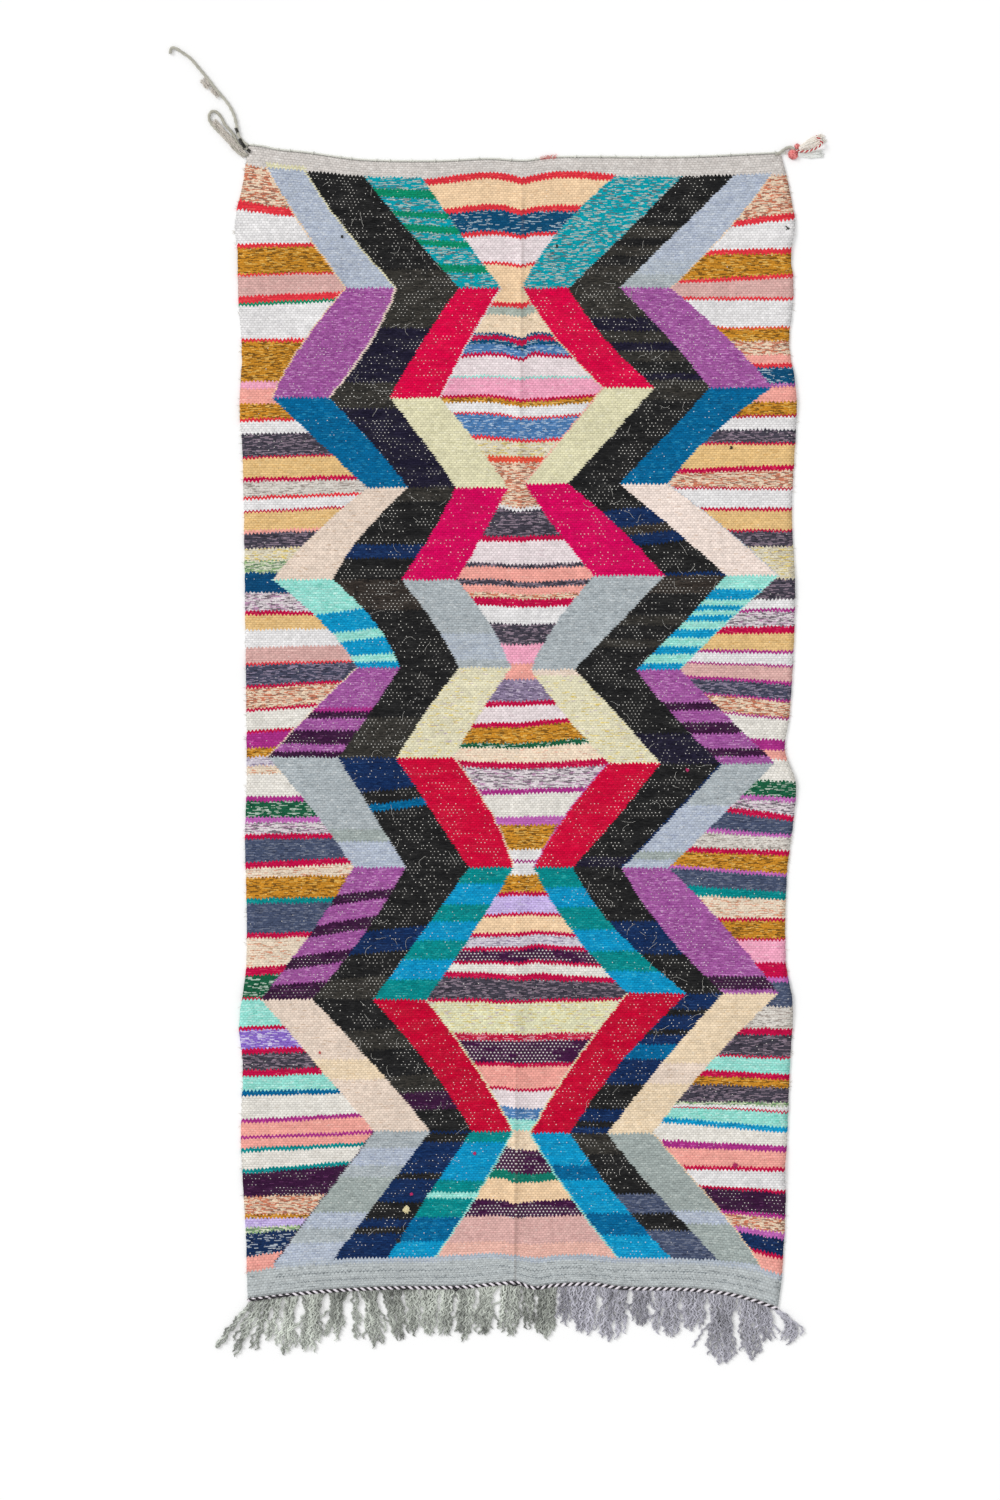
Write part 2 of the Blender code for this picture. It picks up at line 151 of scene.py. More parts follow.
def edge_points(at_bottom):
    """The points of the top or the bottom edge, from left to right."""
    left, right = side_edges(RUG_LENGTH if at_bottom else 0)
    points = []
    for i in range(EDGE_STEPS + 1):
        x = left + (right - left) * i / EDGE_STEPS
        y = -RUG_LENGTH / 2 - smooth(BOTTOM_EDGE, x) if at_bottom else RUG_LENGTH / 2 + smooth(TOP_EDGE, x)
        points.append(Vector((x, y, 0)))
    return points


top_edge, bottom_edge = edge_points(False), edge_points(True)
print(f"bottom edge from x {bottom_edge[0].x:.3f} to {bottom_edge[-1].x:.3f}")

# %% [markdown]
# ## Yarn as a mesh
# Every cord, fringe end and loose thread on this rug is spun yarn. Two strands turned round each other show
# as a section with two lobes that turns as it runs along. One helper lofts such a section along a path, so
# thin hairs and thick cords all come from the same few lines.

# %% Helpers for paths


def direction(path, i):
    return (path[min(i + 1, len(path) - 1)] - path[max(i - 1, 0)]).normalized()


def square_to(path, i):
    """A level direction to the left of a path, at one of its points."""
    along = direction(path, i)
    return Vector((-along.y, along.x, 0))


def beside(edge, distance):
    """An edge's points moved square to it, up the page for a positive distance."""
    return [point + square_to(edge, i) * distance for i, point in enumerate(edge)]


def at_x(edge, x):
    """The point of an edge at x, also past its two ends."""
    share = (x - edge[0].x) / (edge[-1].x - edge[0].x)
    i = min(max(int(share * (len(edge) - 1)), 0), len(edge) - 2)
    return edge[i].lerp(edge[i + 1], (x - edge[i].x) / (edge[i + 1].x - edge[i].x))


def on_floor(route, height):
    """A route's points, given in millimetres, at a height in metres."""
    return [Vector((x * MM, y * MM, height)) for x, y in route]


def run_lengths(path):
    return [(b - a).length for a, b in zip(path, path[1:], strict=False)]


def resampled(path, step):
    """Points a step apart along a path of straight runs, from its first point to its last."""
    runs = run_lengths(path)
    count = max(round(sum(runs) / step), 1)
    points, run, passed = [], 0, 0
    for i in range(count + 1):
        far = sum(runs) * i / count
        while run < len(runs) - 1 and far > passed + runs[run]:
            passed += runs[run]
            run += 1
        points.append(path[run].lerp(path[run + 1], (far - passed) / runs[run]))
    return points


def curved(points, steps):
    """A soft curve through a route's points, with steps sections between each two of them."""
    path = []
    for i in range(len(points) - 1):
        before, start, end, after = four_around(points, i)
        path += [soft(start, end, (end - before) / 2, (after - start) / 2, k / steps) for k in range(steps)]
    return [*path, points[-1]]


def wound(path, radius, angles):
    """A strand that winds round a path, with its angle at each of the path's points."""
    strand = []
    for i, angle in enumerate(angles):
        aside = direction(path, i).cross(UP)
        strand.append(path[i] + (aside * math.cos(angle) + UP * math.sin(angle)) * radius)
    return strand


# %% Lofted yarn


def store(mesh, name, domain, values):
    mesh.attributes.new(name, "FLOAT_VECTOR", domain).data.foreach_set("vector", values)


def on_rug(mesh, finish, slot, *nodes):
    """An object with its mesh's name, which rides on the rug and stands for the solids named."""
    mesh.materials.append(finish)
    mesh.shade_smooth()
    made = add_object(mesh.name, mesh)
    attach(made, "root")
    if nodes:
        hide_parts(*nodes)
    return made


class Skein:
    """Collects lofted yarns and turns them into one mesh, with each yarn's own number on its points."""

    def __init__(self):
        self.points, self.faces, self.places = [], [], []
        self.yarns = 0

    def add(self, path, gauge, turn=0.0, taper=0):
        """A yarn with two lobes. Its gauge: half its thickness over the lobes and in the grooves, the length
        of a turn, and the sides of a section. The last taper sections thin out."""
        lobe, groove, pitch, sides = gauge
        first = len(self.points)
        walked = 0
        for i, centre in enumerate(path):
            along = direction(path, i)
            aside = along.cross(UP).normalized()
            up = aside.cross(along)
            if i:
                walked += (centre - path[i - 1]).length
            left = len(path) - 1 - i
            thin = 1 if left >= taper else 0.35 + 0.65 * left / taper
            for k in range(sides):
                angle = math.tau * k / sides
                twist = angle - turn - math.tau * walked / pitch
                radius = thin * (groove + (lobe - groove) * math.cos(twist) ** 2)
                self.points.append(centre + aside * radius * math.cos(angle) + up * radius * math.sin(angle))
                self.places += (walked, k / sides, self.yarns)
        rings = [range(first + i * sides, first + (i + 1) * sides) for i in range(len(path))]
        for near, far in zip(rings, rings[1:], strict=False):
            for k in range(sides):
                n = (k + 1) % sides
                self.faces.append((near[k], far[k], far[n], near[n]))
        self.faces += (tuple(rings[0]), tuple(reversed(rings[-1])))
        self.yarns += 1

    def piece(self, name, finish, slot, *nodes):
        """One object of all the yarns."""
        mesh = bpy.data.meshes.new(name)
        mesh.from_pydata(self.points, [], self.faces)
        store(mesh, "yarn_place", "POINT", self.places)
        triangles = sum(len(face) - 2 for face in self.faces)
        print(f"{name}: {self.yarns} yarns, {triangles} triangles")
        return on_rug(mesh, finish, slot, *nodes)


def one_yarn(path, gauge, *piece):
    """A piece of a single yarn."""
    skein = Skein()
    skein.add(path, gauge)
    return skein.piece(*piece)


# %% [markdown]
# ## Shader building blocks
# Wool and rag yarn are never one flat colour: the dye took unevenly, fibres stand up and catch the light, and
# lint sits on the surface. These effects are in more than one material, so each is a node group with named
# inputs, built once. A group's nodes are written as a formula, which is far easier to read than a list of
# nodes and links: each plus or times in it adds one Math node.

# %% Values, nodes and groups


def dye(code):
    """A colour as seen on screen, in the usual six digits, turned into the linear values that shaders use."""
    shares = [c / 255 / 12.92 if c <= 10 else ((c / 255 + 0.055) / 1.055) ** 2.4 for c in bytes.fromhex(code)]
    return (*shares, 1)


class Value:
    """What a node puts out. A formula of values makes the Math nodes that work it out."""

    def __init__(self, socket):
        self.socket = socket
        self.tree = socket.id_data

    def __add__(self, other):
        return maths("ADD", self, other)

    def __sub__(self, other):
        return maths("SUBTRACT", self, other)

    def __rsub__(self, other):
        return maths("SUBTRACT", other, self)

    def __mul__(self, other):
        return maths("MULTIPLY", self, other)

    def __truediv__(self, other):
        return maths("DIVIDE", self, other)

    def __lt__(self, other):
        return maths("LESS_THAN", self, other)

    def __gt__(self, other):
        return maths("GREATER_THAN", self, other)


def feed(made, inputs):
    """Feeds a node's inputs, by name or number, with values or with plain numbers and colours."""
    for name, value in inputs.items():
        if isinstance(value, Value):
            value.tree.links.new(value.socket, made.inputs[name])
        else:
            made.inputs[name].default_value = value


def add_node(tree, kind, inputs, output=0, **settings):
    """The value of one output of a new node."""
    made = tree.nodes.new("ShaderNode" + kind)
    for name, setting in settings.items():
        setattr(made, name, setting)
    feed(made, inputs)
    return Value(made.outputs[output])


def tree_of(*values):
    return next(value.tree for value in values if isinstance(value, Value))


def outputs_of(value):
    return [Value(socket) for socket in value.socket.node.outputs]


def maths(operation, *values):
    return add_node(tree_of(*values), "Math", dict(enumerate(values)), operation=operation)


def mixed(share, a, b):
    """Two numbers mixed by a share."""
    return add_node(tree_of(share, a, b), "Mix", {0: share, 2: a, 3: b}, 0, data_type="FLOAT")


def tinted(share, a, b, blend="MIX"):
    """Two colours mixed by a share."""
    inputs = {0: share, 6: a, 7: b}
    return add_node(tree_of(share, a, b), "Mix", inputs, 2, data_type="RGBA", blend_type=blend)


def joined(x, y, z=0.0):
    return add_node(tree_of(x, y, z), "CombineXYZ", {0: x, 1: y, 2: z})


def split(vector):
    return outputs_of(add_node(vector.tree, "SeparateXYZ", {0: vector}))


def stored(tree, name):
    return add_node(tree, "Attribute", {}, "Vector", attribute_name=name)


def own_place(tree):
    return add_node(tree, "TexCoord", {}, "Object")


def soft_noise(place, scale, detail=2.0, roughness=0.5):
    inputs = {"Vector": place, "Scale": scale, "Detail": detail, "Roughness": roughness}
    return add_node(place.tree, "TexNoise", inputs, "Fac")


def chance(place):
    """A random number from 0 to 1 for each whole place."""
    return add_node(place.tree, "TexWhiteNoise", {"Vector": place}, "Value", noise_dimensions="3D")


def new_group(name, inputs, outputs, formula):
    """A node group of a formula. An input is given with its first value, and a place or other vector with
    None. The formula takes the inputs and gives the outputs, both in their order."""
    tree = bpy.data.node_groups.new(name, "ShaderNodeTree")
    for label, value in inputs.items():
        kind = "Vector" if value is None else "Color" if isinstance(value, tuple) else "Float"
        socket = tree.interface.new_socket(label, in_out="INPUT", socket_type="NodeSocket" + kind)
        if value is not None:
            socket.default_value = value
    for label, kind in outputs.items():
        tree.interface.new_socket(label, in_out="OUTPUT", socket_type="NodeSocket" + kind)
    given = tree.nodes.new("NodeGroupInput").outputs
    made = formula(*(Value(given[label]) for label in inputs))
    feed(tree.nodes.new("NodeGroupOutput"), dict(zip(outputs, made, strict=True)))
    return tree


def use(group, **values):
    """Places a group in the tree of its values: what it puts out, in order."""
    return outputs_of(add_node(tree_of(*values.values()), "Group", values, node_tree=group))


# %% Node groups: uneven dye and fibre fuzz


def dyed_unevenly(colour, place, amount):
    both = soft_noise(place, 9, 2) * 0.9 + soft_noise(place, 90, 3, 0.6) * 0.9
    lighter = (both - 0.9) * amount + 1
    return [tinted(1.0, colour, joined(lighter, lighter, lighter), "MULTIPLY")]


def fine_hairs(place, fineness):
    """Fine hairs on a yarn, as a height from 0 to 1."""
    scaled = add_node(place.tree, "VectorMath", {0: place, "Scale": fineness}, operation="SCALE")
    return [soft_noise(scaled, 700, 4, 0.7)]


uneven_dye = new_group(
    "uneven_dye", {"Colour": (1, 1, 1, 1), "Place": None, "Amount": 0.1}, {"Colour": "Color"}, dyed_unevenly
)
fibre_fuzz = new_group("fibre_fuzz", {"Place": None, "Fineness": 1.0}, {"Height": "Float"}, fine_hairs)
print("groups:", [group.name for group in bpy.data.node_groups])

# %% [markdown]
# ## Spun yarn as a material
# One function makes the material of every cord and fringe. Each yarn is a little lighter or darker than its
# neighbour, some stretches of it are paler than others, and a rough, fuzzy surface keeps wool matt. A sheen
# of pale fibre is what tells wool from painted wire.

# %% Spun yarn


def new_material(name):
    """A material and its Principled shader."""
    made = bpy.data.materials.new(name)
    made.use_nodes = True
    return made, made.node_tree.nodes["Principled BSDF"]


def as_wool(shader, colour, height, bump, specular, sheen):
    """Feeds a shader to look like matt wool. The bump is a strength and a depth in metres."""
    lighting = {"Height": height, "Strength": bump[0], "Distance": bump[1]}
    normal = add_node(colour.tree, "Bump", lighting, "Normal")
    feed(shader, {"Base Color": colour, "Normal": normal, "Roughness": 0.95, "Specular IOR Level": specular,
                  "Sheen Weight": sheen, "Sheen Roughness": 0.6})


def spun_yarn(name, colour, dark_colour, variety=0.3, dye_amount=0.5):
    """A matt woollen yarn. Variety is how far yarns side by side differ."""
    made, shader = new_material(name)
    along, around, number = split(stored(made.node_tree, "yarn_place"))
    each = chance(joined(number, 3.7))
    patch = soft_noise(joined(along, around, number), 160, 2)
    shade = maths("MINIMUM", each * variety + patch * 0.8, 1.0)
    where = own_place(made.node_tree)
    hue = tinted(shade, dye(dark_colour), dye(colour))
    toned = use(uneven_dye, Colour=hue, Place=where, Amount=dye_amount)[0]
    fuzz = use(fibre_fuzz, Place=where, Fineness=1.0)[0]
    as_wool(shader, toned, fuzz, (0.7, 0.0008), 0.15, 0.25)
    return made


tail_yarn = spun_yarn("tail_yarn", "c8c6ba", "7a776a", 0.5, 0.6)
loop_yarn = spun_yarn("loop_yarn", "c2bfb2", "747063", 0.5, 0.6)
binding_yarn = spun_yarn("binding_yarn", "2a2820", "0e0d0a")

# %% [markdown]
# ## The two free cords at the left corner
# The end of the heading cord lies loose on the floor, and a doubled end of the same yarn makes a loop beside
# it. Both are limp two-ply yarn about 8 mm thick, seen from end to end in the photo. Their routes are listed
# and repeat the ones that shape the solids. Dark turns of thread bind them where they leave the
# corner.

# %% Tail and loop
TAIL_GAUGE = (0.0038, 0.0027, 0.030, 12)
LOOP_GAUGE = (0.0037, 0.0027, 0.022, 12)
TAIL_LOBE, LOOP_LOBE = TAIL_GAUGE[0], LOOP_GAUGE[0]
HEADING_RADIUS = 0.003
YARN_STEP = 0.0025
TAIL_ROUTE = (
    (-784, 1516), (-784, 1525), (-775, 1529), (-757, 1518), (-739, 1505), (-719, 1482), (-698, 1457),
    (-683, 1437), (-669, 1421), (-653, 1401), (-642, 1381), (-636, 1362), (-633, 1345), (-630, 1331),
    (-622, 1318),
)
LOOP_ROUTE = (
    (-608.5, 1286), (-628, 1290), (-645, 1309), (-667, 1331), (-684, 1348), (-695, 1363), (-696, 1377),
    (-688, 1385), (-677, 1381), (-668, 1369), (-661, 1355), (-651, 1344), (-642, 1333), (-634, 1317),
    (-625, 1305), (-608.5, 1299),
)

heading_line = beside(top_edge, HEADING_RADIUS + GAP)
seat = heading_line[0]
tail_points = on_floor(TAIL_ROUTE, TAIL_LOBE)
tail_points += [Vector((seat.x - TAIL_LOBE, seat.y, TAIL_LOBE)), Vector((seat.x - GAP, seat.y, TAIL_LOBE))]
tail_path = resampled(curved(tail_points, 6), YARN_STEP)
loop_path = resampled(curved(on_floor(LOOP_ROUTE, LOOP_LOBE), 6), YARN_STEP)
tail = one_yarn(tail_path, TAIL_GAUGE, "loose_tail", tail_yarn, "tail_yarn", "corner_tail")
loop = one_yarn(loop_path, LOOP_GAUGE, "doubled_loop", loop_yarn, "loop_yarn", "corner_loop")

tail_length = sum(run_lengths(tail_path))
loop_length = sum(run_lengths(loop_path))
print(f"tail {tail_length:.3f} m, loop {loop_length:.3f} m")

# %% Dark thread wound round the tail and the corner
BINDINGS = (  # from and to in millimetres, and the turns between
    ((-636, 1346), (-631, 1336), 4), ((-627, 1322), (-615, 1300), 9), ((-609, 1297), (-603, 1293), 3),
)
BINDING_AROUND = 0.0030
BINDING_HEIGHT = 0.0060
BINDING_GAUGE = (0.0012, 0.0010, 0.010, 5)
TURN_STEPS = 10
binding_skein = Skein()
for first, last, turns in BINDINGS:
    start, end = on_floor((first, last), BINDING_HEIGHT)
    steps = turns * TURN_STEPS
    straight = [start.lerp(end, i / steps) for i in range(steps + 1)]
    angles = [math.tau * i / TURN_STEPS for i in range(steps + 1)]
    binding_skein.add(wound(straight, BINDING_AROUND, angles), BINDING_GAUGE)
binding_skein.piece("corner_binding", binding_yarn, "tail_yarn")

# %% Fluff on the old yarn
# Wool that has come loose from the spin, along the loop's legs and in two lumps on the tail: the route of its
# middle and half its width in millimetres, and the number of hairs.
FLUFF = (
    (((-688, 1364), (-671, 1342), (-651, 1320), (-633, 1299), (-613, 1281)), 7, 110),
    (((-712, 1459), (-704, 1447), (-694, 1437)), 6, 34),
    (((-692, 1438), (-683, 1427), (-673, 1418)), 5, 30),
)
FLUFF_GAUGE = (0.0008, 0.0006, 0.008, 4)
fluff_yarn = spun_yarn("fluff_yarn", "e2dbd2", "b0a89c", 0.5, 0.5)
fluff_rng = random.Random(8)
fluff_skein = Skein()
for route, half, hair_count in FLUFF:
    middle_path = curved(on_floor(route, 0.001), 6)
    for _ in range(hair_count):
        first = fluff_rng.randrange(0, len(middle_path) // 2)
        last = fluff_rng.randrange(first + 5, len(middle_path) + 1)
        place, level = fluff_rng.uniform(-1, 1), fluff_rng.uniform(0, 0.0062)
        sway, phase = fluff_rng.uniform(0.0008, 0.0028), fluff_rng.uniform(0, 6)
        hair = []
        for i in range(first, last):
            far = place * half * MM + sway * math.sin(i * 0.8 + phase)
            hair.append(middle_path[i] + square_to(middle_path, i) * far + UP * level)
        fluff_skein.add(hair, FLUFF_GAUGE, taper=2)
fluff_skein.piece("corner_fluff", fluff_yarn, "loop_yarn")

# %% [markdown]
# ## The yarns of the cloth
# A boucherouite is woven from whatever the household has: dyed wool, cotton, and rags torn in strips. So each
# yarn is a base colour, two colours that show as short flecks (about a third of them are the second one, the
# sparks), how much the flecks cover, and how far the pale warp shows where it is worn, both in per cent.

# %% The weaver's shelf
YARNS = """
heading d4cec9 c6bfba e4e0dc 26 3
greyend bac0c1 aab1b4 82898c 18 3
bluegrey b2bbc6 c0c6cb 9ea8b8 32 3
greyline 80878b bac0c1 9ca2a6 50 3
white e7e5e5 dad8da f0eeee 16 3
offwhite e5e1d9 d6d0c6 f0ece6 18 3
pinkwhite e9dcde deccd0 f0e6e6 15 3
cream f0dcc4 e2ac96 e8c8a0 16 3
creampeach f0d9bc e2c2a2 c4b08c 14 3
creamyellow e2e0bc dec86e c4b4ba 24 3
creamfleck e0d8c0 dec45a aa9678 34 3
straw e0dbb7 d4cfa6 eae6ca 18 3
strawfleck e3ddbe e2c85a c4b4be 16 3
petal e7d4c4 dec6b4 ccb096 14 3
shell f1e0d6 e6d0c4 d6bca8 12 3
apricot ebd5b6 e0c49e f0dec6 16 3
peach f2d1aa e8c096 f6daba 15 3
tan e5bf84 d8ac6c eccc96 20 3
frost b5becd 9ca6bc ced4dc 28 6
pewter aeb6ba 949da2 c8cdcf 28 6
sage a2aca9 8c9694 bcc4c0 28 6
greygreen aab4aa 929e94 bec6be 25 3
dusty daaea8 cc9c98 e6c0b8 18 3
blush e8b6a8 dea89c eec6ba 15 3
salmon f0a69a e6928a f4baae 15 3
pink f0a6c0 e896b4 f2c4d2 18 3
red e23642 d6283a ec6462 20 5
redorange e8543e e23c34 f08c6e 20 5
crimson c40a46 a8083c d64668 20 10
wornred c41440 e096a6 a0103c 30 90
scarlet dd0044 c4023c de1450 25 45
cerise d6005a c40252 de1668 25 35
garnet cf0337 bc0432 d81e48 25 50
ruby c40030 b0022c d01c42 25 50
gold ca8a2a 5e401c e4b862 44 5
rust e8d0b6 c65830 7c3e30 52 5
creamrust e8d6c0 d68460 b08c6e 24 3
oat dad4cc 8c807a b8aaa0 34 5
pebble ded4d8 48364a b078a4 46 5
soot 46424e 948290 2c2a34 44 15
ink 46485c 92869c 2a2836 46 10
heather 9282a0 605470 cec0d4 44 5
mist cec6d2 8c7c98 e2dce2 36 5
slate 48526c 767c8e 303850 34 8
umber 322c28 48403a 201d1c 40 90
ash 34322e 222120 46423d 40 85
black 1d1d1e 2a2a2a 121213 34 72
midnight 1c192d 28253a 12101e 34 60
navy 122c58 0c1c3e 244270 30 35
navyfleck 162e56 bec8d2 0e1e3c 26 30
petrolnavy 084874 0c3c62 1e5c86 25 8
petrolfleck 0a4a70 b0c2cc 286486 26 10
denim 4e7cb0 b0c4da 366296 36 5
sky 0895c7 0080b2 34b2d6 30 18
petrol 006597 00507c 2486b0 30 12
teal 008a8c 00747a 2ca4a2 30 16
tealgreen 107a68 066256 3c9682 25 5
turquoise 009eac bec2ba 605c60 38 6
green 088c66 007658 28a07e 22 5
mint 96ded2 beece2 70cebc 28 5
leaf d6dac2 306a40 8cb870 56 5
moss 1a5e40 bed0c2 0c402e 32 10
purple a35a9f 8c3e8a ca92c6 32 36
plum 3a163a 2a0e2c 60325c 25 80
wornplum 421840 301030 76486e 20 240
magenta ac3086 962478 c864aa 22 8
lilac c066b4 b054a6 d496cc 20 5
lavender c8b6e6 b098d4 dcd0ee 25 5
violet 8c6cc8 ded6f0 6c48ae 38 5
"""
CARD_SIZE = 32
MOST_WEAR = 2.4  # wear is kept on the card as a share of this

SHELF = {}
for row in YARNS.strip().splitlines():
    name, base, fleck, spark, share, wear = row.split()
    SHELF[name] = (base, fleck, spark, int(share) / 100, int(wear) / 100 / MOST_WEAR)
YARN_NUMBER = {name: number for number, name in enumerate(SHELF)}
print(f"{len(SHELF)} yarns, on {math.ceil(len(SHELF) / CARD_SIZE)} cards")

# %% [markdown]
# ## The chart
# The pattern is the traditional one of facing zigzags over stripes. Eight zigzag borders part the cloth into
# nine upright zones, and they all turn at the same eleven places. Each zone is a stack of stripes, written as
# a yarn and its number of chart lines. This is how a weaver works, and it is exact at any size, while a
# picture of the rug would be neither.

# %% Where the zigzags turn
# Chart line, the places of a side's four borders in millimetres from the middle, and their bulges: how far
# each bends off the straight line to the next turn, because no zigzag woven by eye is straight.
TURNS = {
    "left": table("""
    16 -567 -479 -345 -213 -3 -10 -6 -5,
    130 -386 -272 -129 -34 -14 16 -6 -5,
    240 -554 -424 -286 -172 0 7 4 4,
    330 -338 -245 -136 -18 -11 -17 7 2,
    422 -553 -416 -261 -134 20 21 9 12,
    510 -361 -263 -129 -11 -4 2 -5 -4,
    600 -563 -404 -272 -141 8 1 0 16,
    710 -368 -250 -107 -5 8 12 2 4,
    842 -579 -463 -325 -202 0 7 13 9,
    974 -322 -195 -100 -5 3 1 -2 5,
    1100 -547 -413 -291 -182 0 0 0 0
    """),
    "right": table("""
    18 227 377 497 583 -26 2 -2 10,
    130 14 120 236 351 -15 -17 7 13,
    230 198 315 440 581 0 0 2 -20,
    326 18 118 234 345 -6 10 5 9,
    418 177 338 477 595 -14 0 6 -5,
    512 34 132 272 372 -7 5 -8 0,
    606 209 327 465 586 -12 5 3 1,
    710 40 129 241 347 -20 -30 -21 10,
    836 252 388 470 595 -11 -19 -7 -13,
    976 32 123 207 311 -9 -12 -10 0,
    1100 229 352 459 556 0 0 0 0
    """),
}

# %% The stacks of the nine zones, from left to right
# In a band, each line is a stretch from one turn to the next. The bottom heading ends stacks that lack it.
BOTTOM_STACK = "bluegrey 5 greyend 7 greyline 1 greyend 6 greyline 1 greyend 8"
STACKS = (
    """
heading 16 rust 32 red 8 white 30 red 4 gold 26 red 2 dusty 20 red 7 green 3 white 33 red 3 gold 40 pink 7
salmon 15 gold 15 red 3 white 12 soot 23 crimson 2 tan 19 crimson 4 oat 15 red 3 white 11 crimson 2 tan 18
salmon 3 soot 15 creamfleck 12 leaf 12 petrolnavy 20 pebble 18 crimson 4 tan 15 white 18 dusty 16 red 2
ink 20 crimson 3 rust 20 crimson 3 offwhite 19 crimson 3 magenta 15 gold 9 mist 9 creamrust 8 offwhite 22
magenta 5 moss 16 lilac 5 pebble 12 crimson 5 slate 23 crimson 6 creamrust 9 gold 21 teal 5 slate 30
crimson 5 creamrust 29 crimson 8 moss 22 crimson 2 mint 27 crimson 4 violet 19 crimson 5 soot 16 crimson 6
mint 14 petrol 5 offwhite 24 magenta 4 salmon 13 magenta 3 salmon 9 teal 4 offwhite 17 teal 4 plum 23
rust 17 gold 4 lavender 8 leaf 5 navyfleck 20 salmon 13 greyend 22
""", """
heading 12 straw 4
frost 114
purple 110
petrol 90
petal 92
mint 32 sky 19 mint 9 sky 15 mint 7 sky 6
purple 40 magenta 4 plum 7 purple 12 plum 14 purple 7 plum 6
pewter 72 sage 12 frost 26
purple 24 plum 10 purple 19 plum 13 purple 20 plum 13 purple 17 plum 16
petal 60 apricot 20 petal 52
pewter 17 frost 17 pewter 12 sage 35 frost 15 pewter 14 frost 16
""", """
heading 16
black 96 ash 18
ash 40 midnight 54 ash 16
ash 10 midnight 80
ash 14 black 43 navy 14 black 21
umber 30 black 58
black 50 ash 40
navy 32 black 12 petrol 7 black 59
black 61 navy 24 black 25 ash 22
black 30 ash 20 black 26 ash 17 plum 17 black 22
navy 2 black 9 navy 31 black 6 navy 23 black 17 navy 8 black 6 navy 24
""", """
heading 16
turquoise 13 green 9 turquoise 15 green 6 turquoise 8 green 8 turquoise 8 green 6 turquoise 18 green 8
    turquoise 15
scarlet 110
straw 90
cerise 92
pewter 54 bluegrey 26 pewter 8
strawfleck 90
garnet 110
teal 16 sky 21 teal 17 sky 19 teal 19 sky 20 teal 20
ruby 132
teal 11 sky 38 teal 12 mint 6 teal 19 petrol 24 sky 16
""", """
heading 16 red 7 peach 27 red 6 petrolfleck 21 red 4 pinkwhite 26 red 3 peach 35 red 5 greygreen 9
creampeach 21 petrolfleck 3 crimson 5 petrolfleck 5 denim 7 crimson 3 pinkwhite 17 mint 2 pink 19
crimson 3 gold 5 white 10 red 2 denim 20 red 3 creamfleck 15 redorange 6 rust 46 white 3 soot 25 crimson 5
pinkwhite 23 soot 4 salmon 13 soot 6 salmon 7 rust 5 crimson 8 white 17 soot 20 pink 19 salmon 16
heather 22 crimson 5 pinkwhite 16 crimson 5 gold 16 moss 5 cream 14 crimson 6 pebble 21 magenta 5
offwhite 23 lilac 8 gold 24 white 11 magenta 2 white 12 gold 17 crimson 4 lavender 17 crimson 3 peach 17
crimson 4 mist 11 crimson 4 wornplum 11 crimson 3 offwhite 9 crimson 6 soot 20 crimson 3 creamyellow 31
wornred 7 wornplum 22 crimson 4 salmon 21 crimson 3 pinkwhite 17 denim 11 mint 11 creampeach 19
wornplum 24 tealgreen 9 peach 21 wornplum 15 dusty 27 blush 13
""", """
heading 18
turquoise 112
scarlet 100
straw 96
cerise 92
pewter 94
petal 6 strawfleck 88
garnet 104
teal 20 sky 20 teal 22 sky 22 teal 20 sky 22
ruby 140
sky 32 petrol 15 sky 33 petrol 22 sky 22
""", """
heading 18
black 50 ash 12 black 8 ash 10 black 10 ash 22
ash 30 midnight 13 ash 12 midnight 8 ash 11 black 12 midnight 6 ash 8
ash 12 black 84
black 25 navy 16 umber 8 navy 10 black 30 navy 3
umber 18 black 22 ash 10 black 14 ash 8 black 22
black 64 midnight 30
black 94 midnight 10
black 54 navy 33 black 39
navy 16 black 6 navy 14 black 5 navy 10 petrol 15 navy 25 black 25 navy 12 black 6 navy 6
ash 21 black 40 slate 19 black 17 slate 27
""", """
heading 18
frost 84 bluegrey 14 pewter 14
purple 100
petrol 96
shell 92
mint 14 sky 10 mint 6 sky 5 mint 5 sky 6 mint 8 sky 8 mint 9 sky 8 mint 9 sky 6
purple 33 plum 8 purple 12 plum 11 purple 15 plum 8 purple 7
pewter 42 frost 46 sage 8 frost 8
purple 109 plum 13 purple 4
apricot 70 petal 20 apricot 50
sage 78 frost 12 sage 34
""", """
heading 20 rust 39 red 6 white 26 red 5 gold 21 red 4 dusty 18 red 3 white 27 redorange 2 gold 12 rust 14
salmon 9 red 4 petrolfleck 16 purple 3 salmon 15 gold 13 crimson 2 white 13 soot 13 crimson 2 tan 21
crimson 5 rust 17 crimson 2 white 18 crimson 3 tan 19 crimson 2 soot 15 creamfleck 32 soot 21 white 9
magenta 3 pebble 15 crimson 7 tan 17 magenta 3 white 11 magenta 2 dusty 14 magenta 3 ink 15 magenta 2
rust 16 magenta 2 offwhite 21 magenta 11 salmon 9 offwhite 21 moss 16 lilac 4 pebble 12 crimson 6 slate 15
lilac 3 oat 14 crimson 5 gold 17 lilac 3 slate 16 teal 8 creamrust 19 crimson 3 gold 17 crimson 2 pink 22
crimson 15 lilac 5 slate 24 oat 22 crimson 7 soot 21 crimson 2 mint 15 crimson 6 gold 8 soot 15 leaf 4
white 4 crimson 2 mint 14 sky 5 offwhite 14 magenta 6 salmon 16 crimson 4 white 18 crimson 3 plum 20
magenta 3 rust 12 lilac 5 navy 13 crimson 3 salmon 12 bluegrey 4 greyend 21
""",
)


def read_stack(text):
    """Yarn numbers, one for each chart line, from a stack written as yarn and lines."""
    words = text.split()
    stack = []
    for name, count in zip(words[::2], words[1::2], strict=True):
        stack += [YARN_NUMBER[name]] * int(count)
    return stack


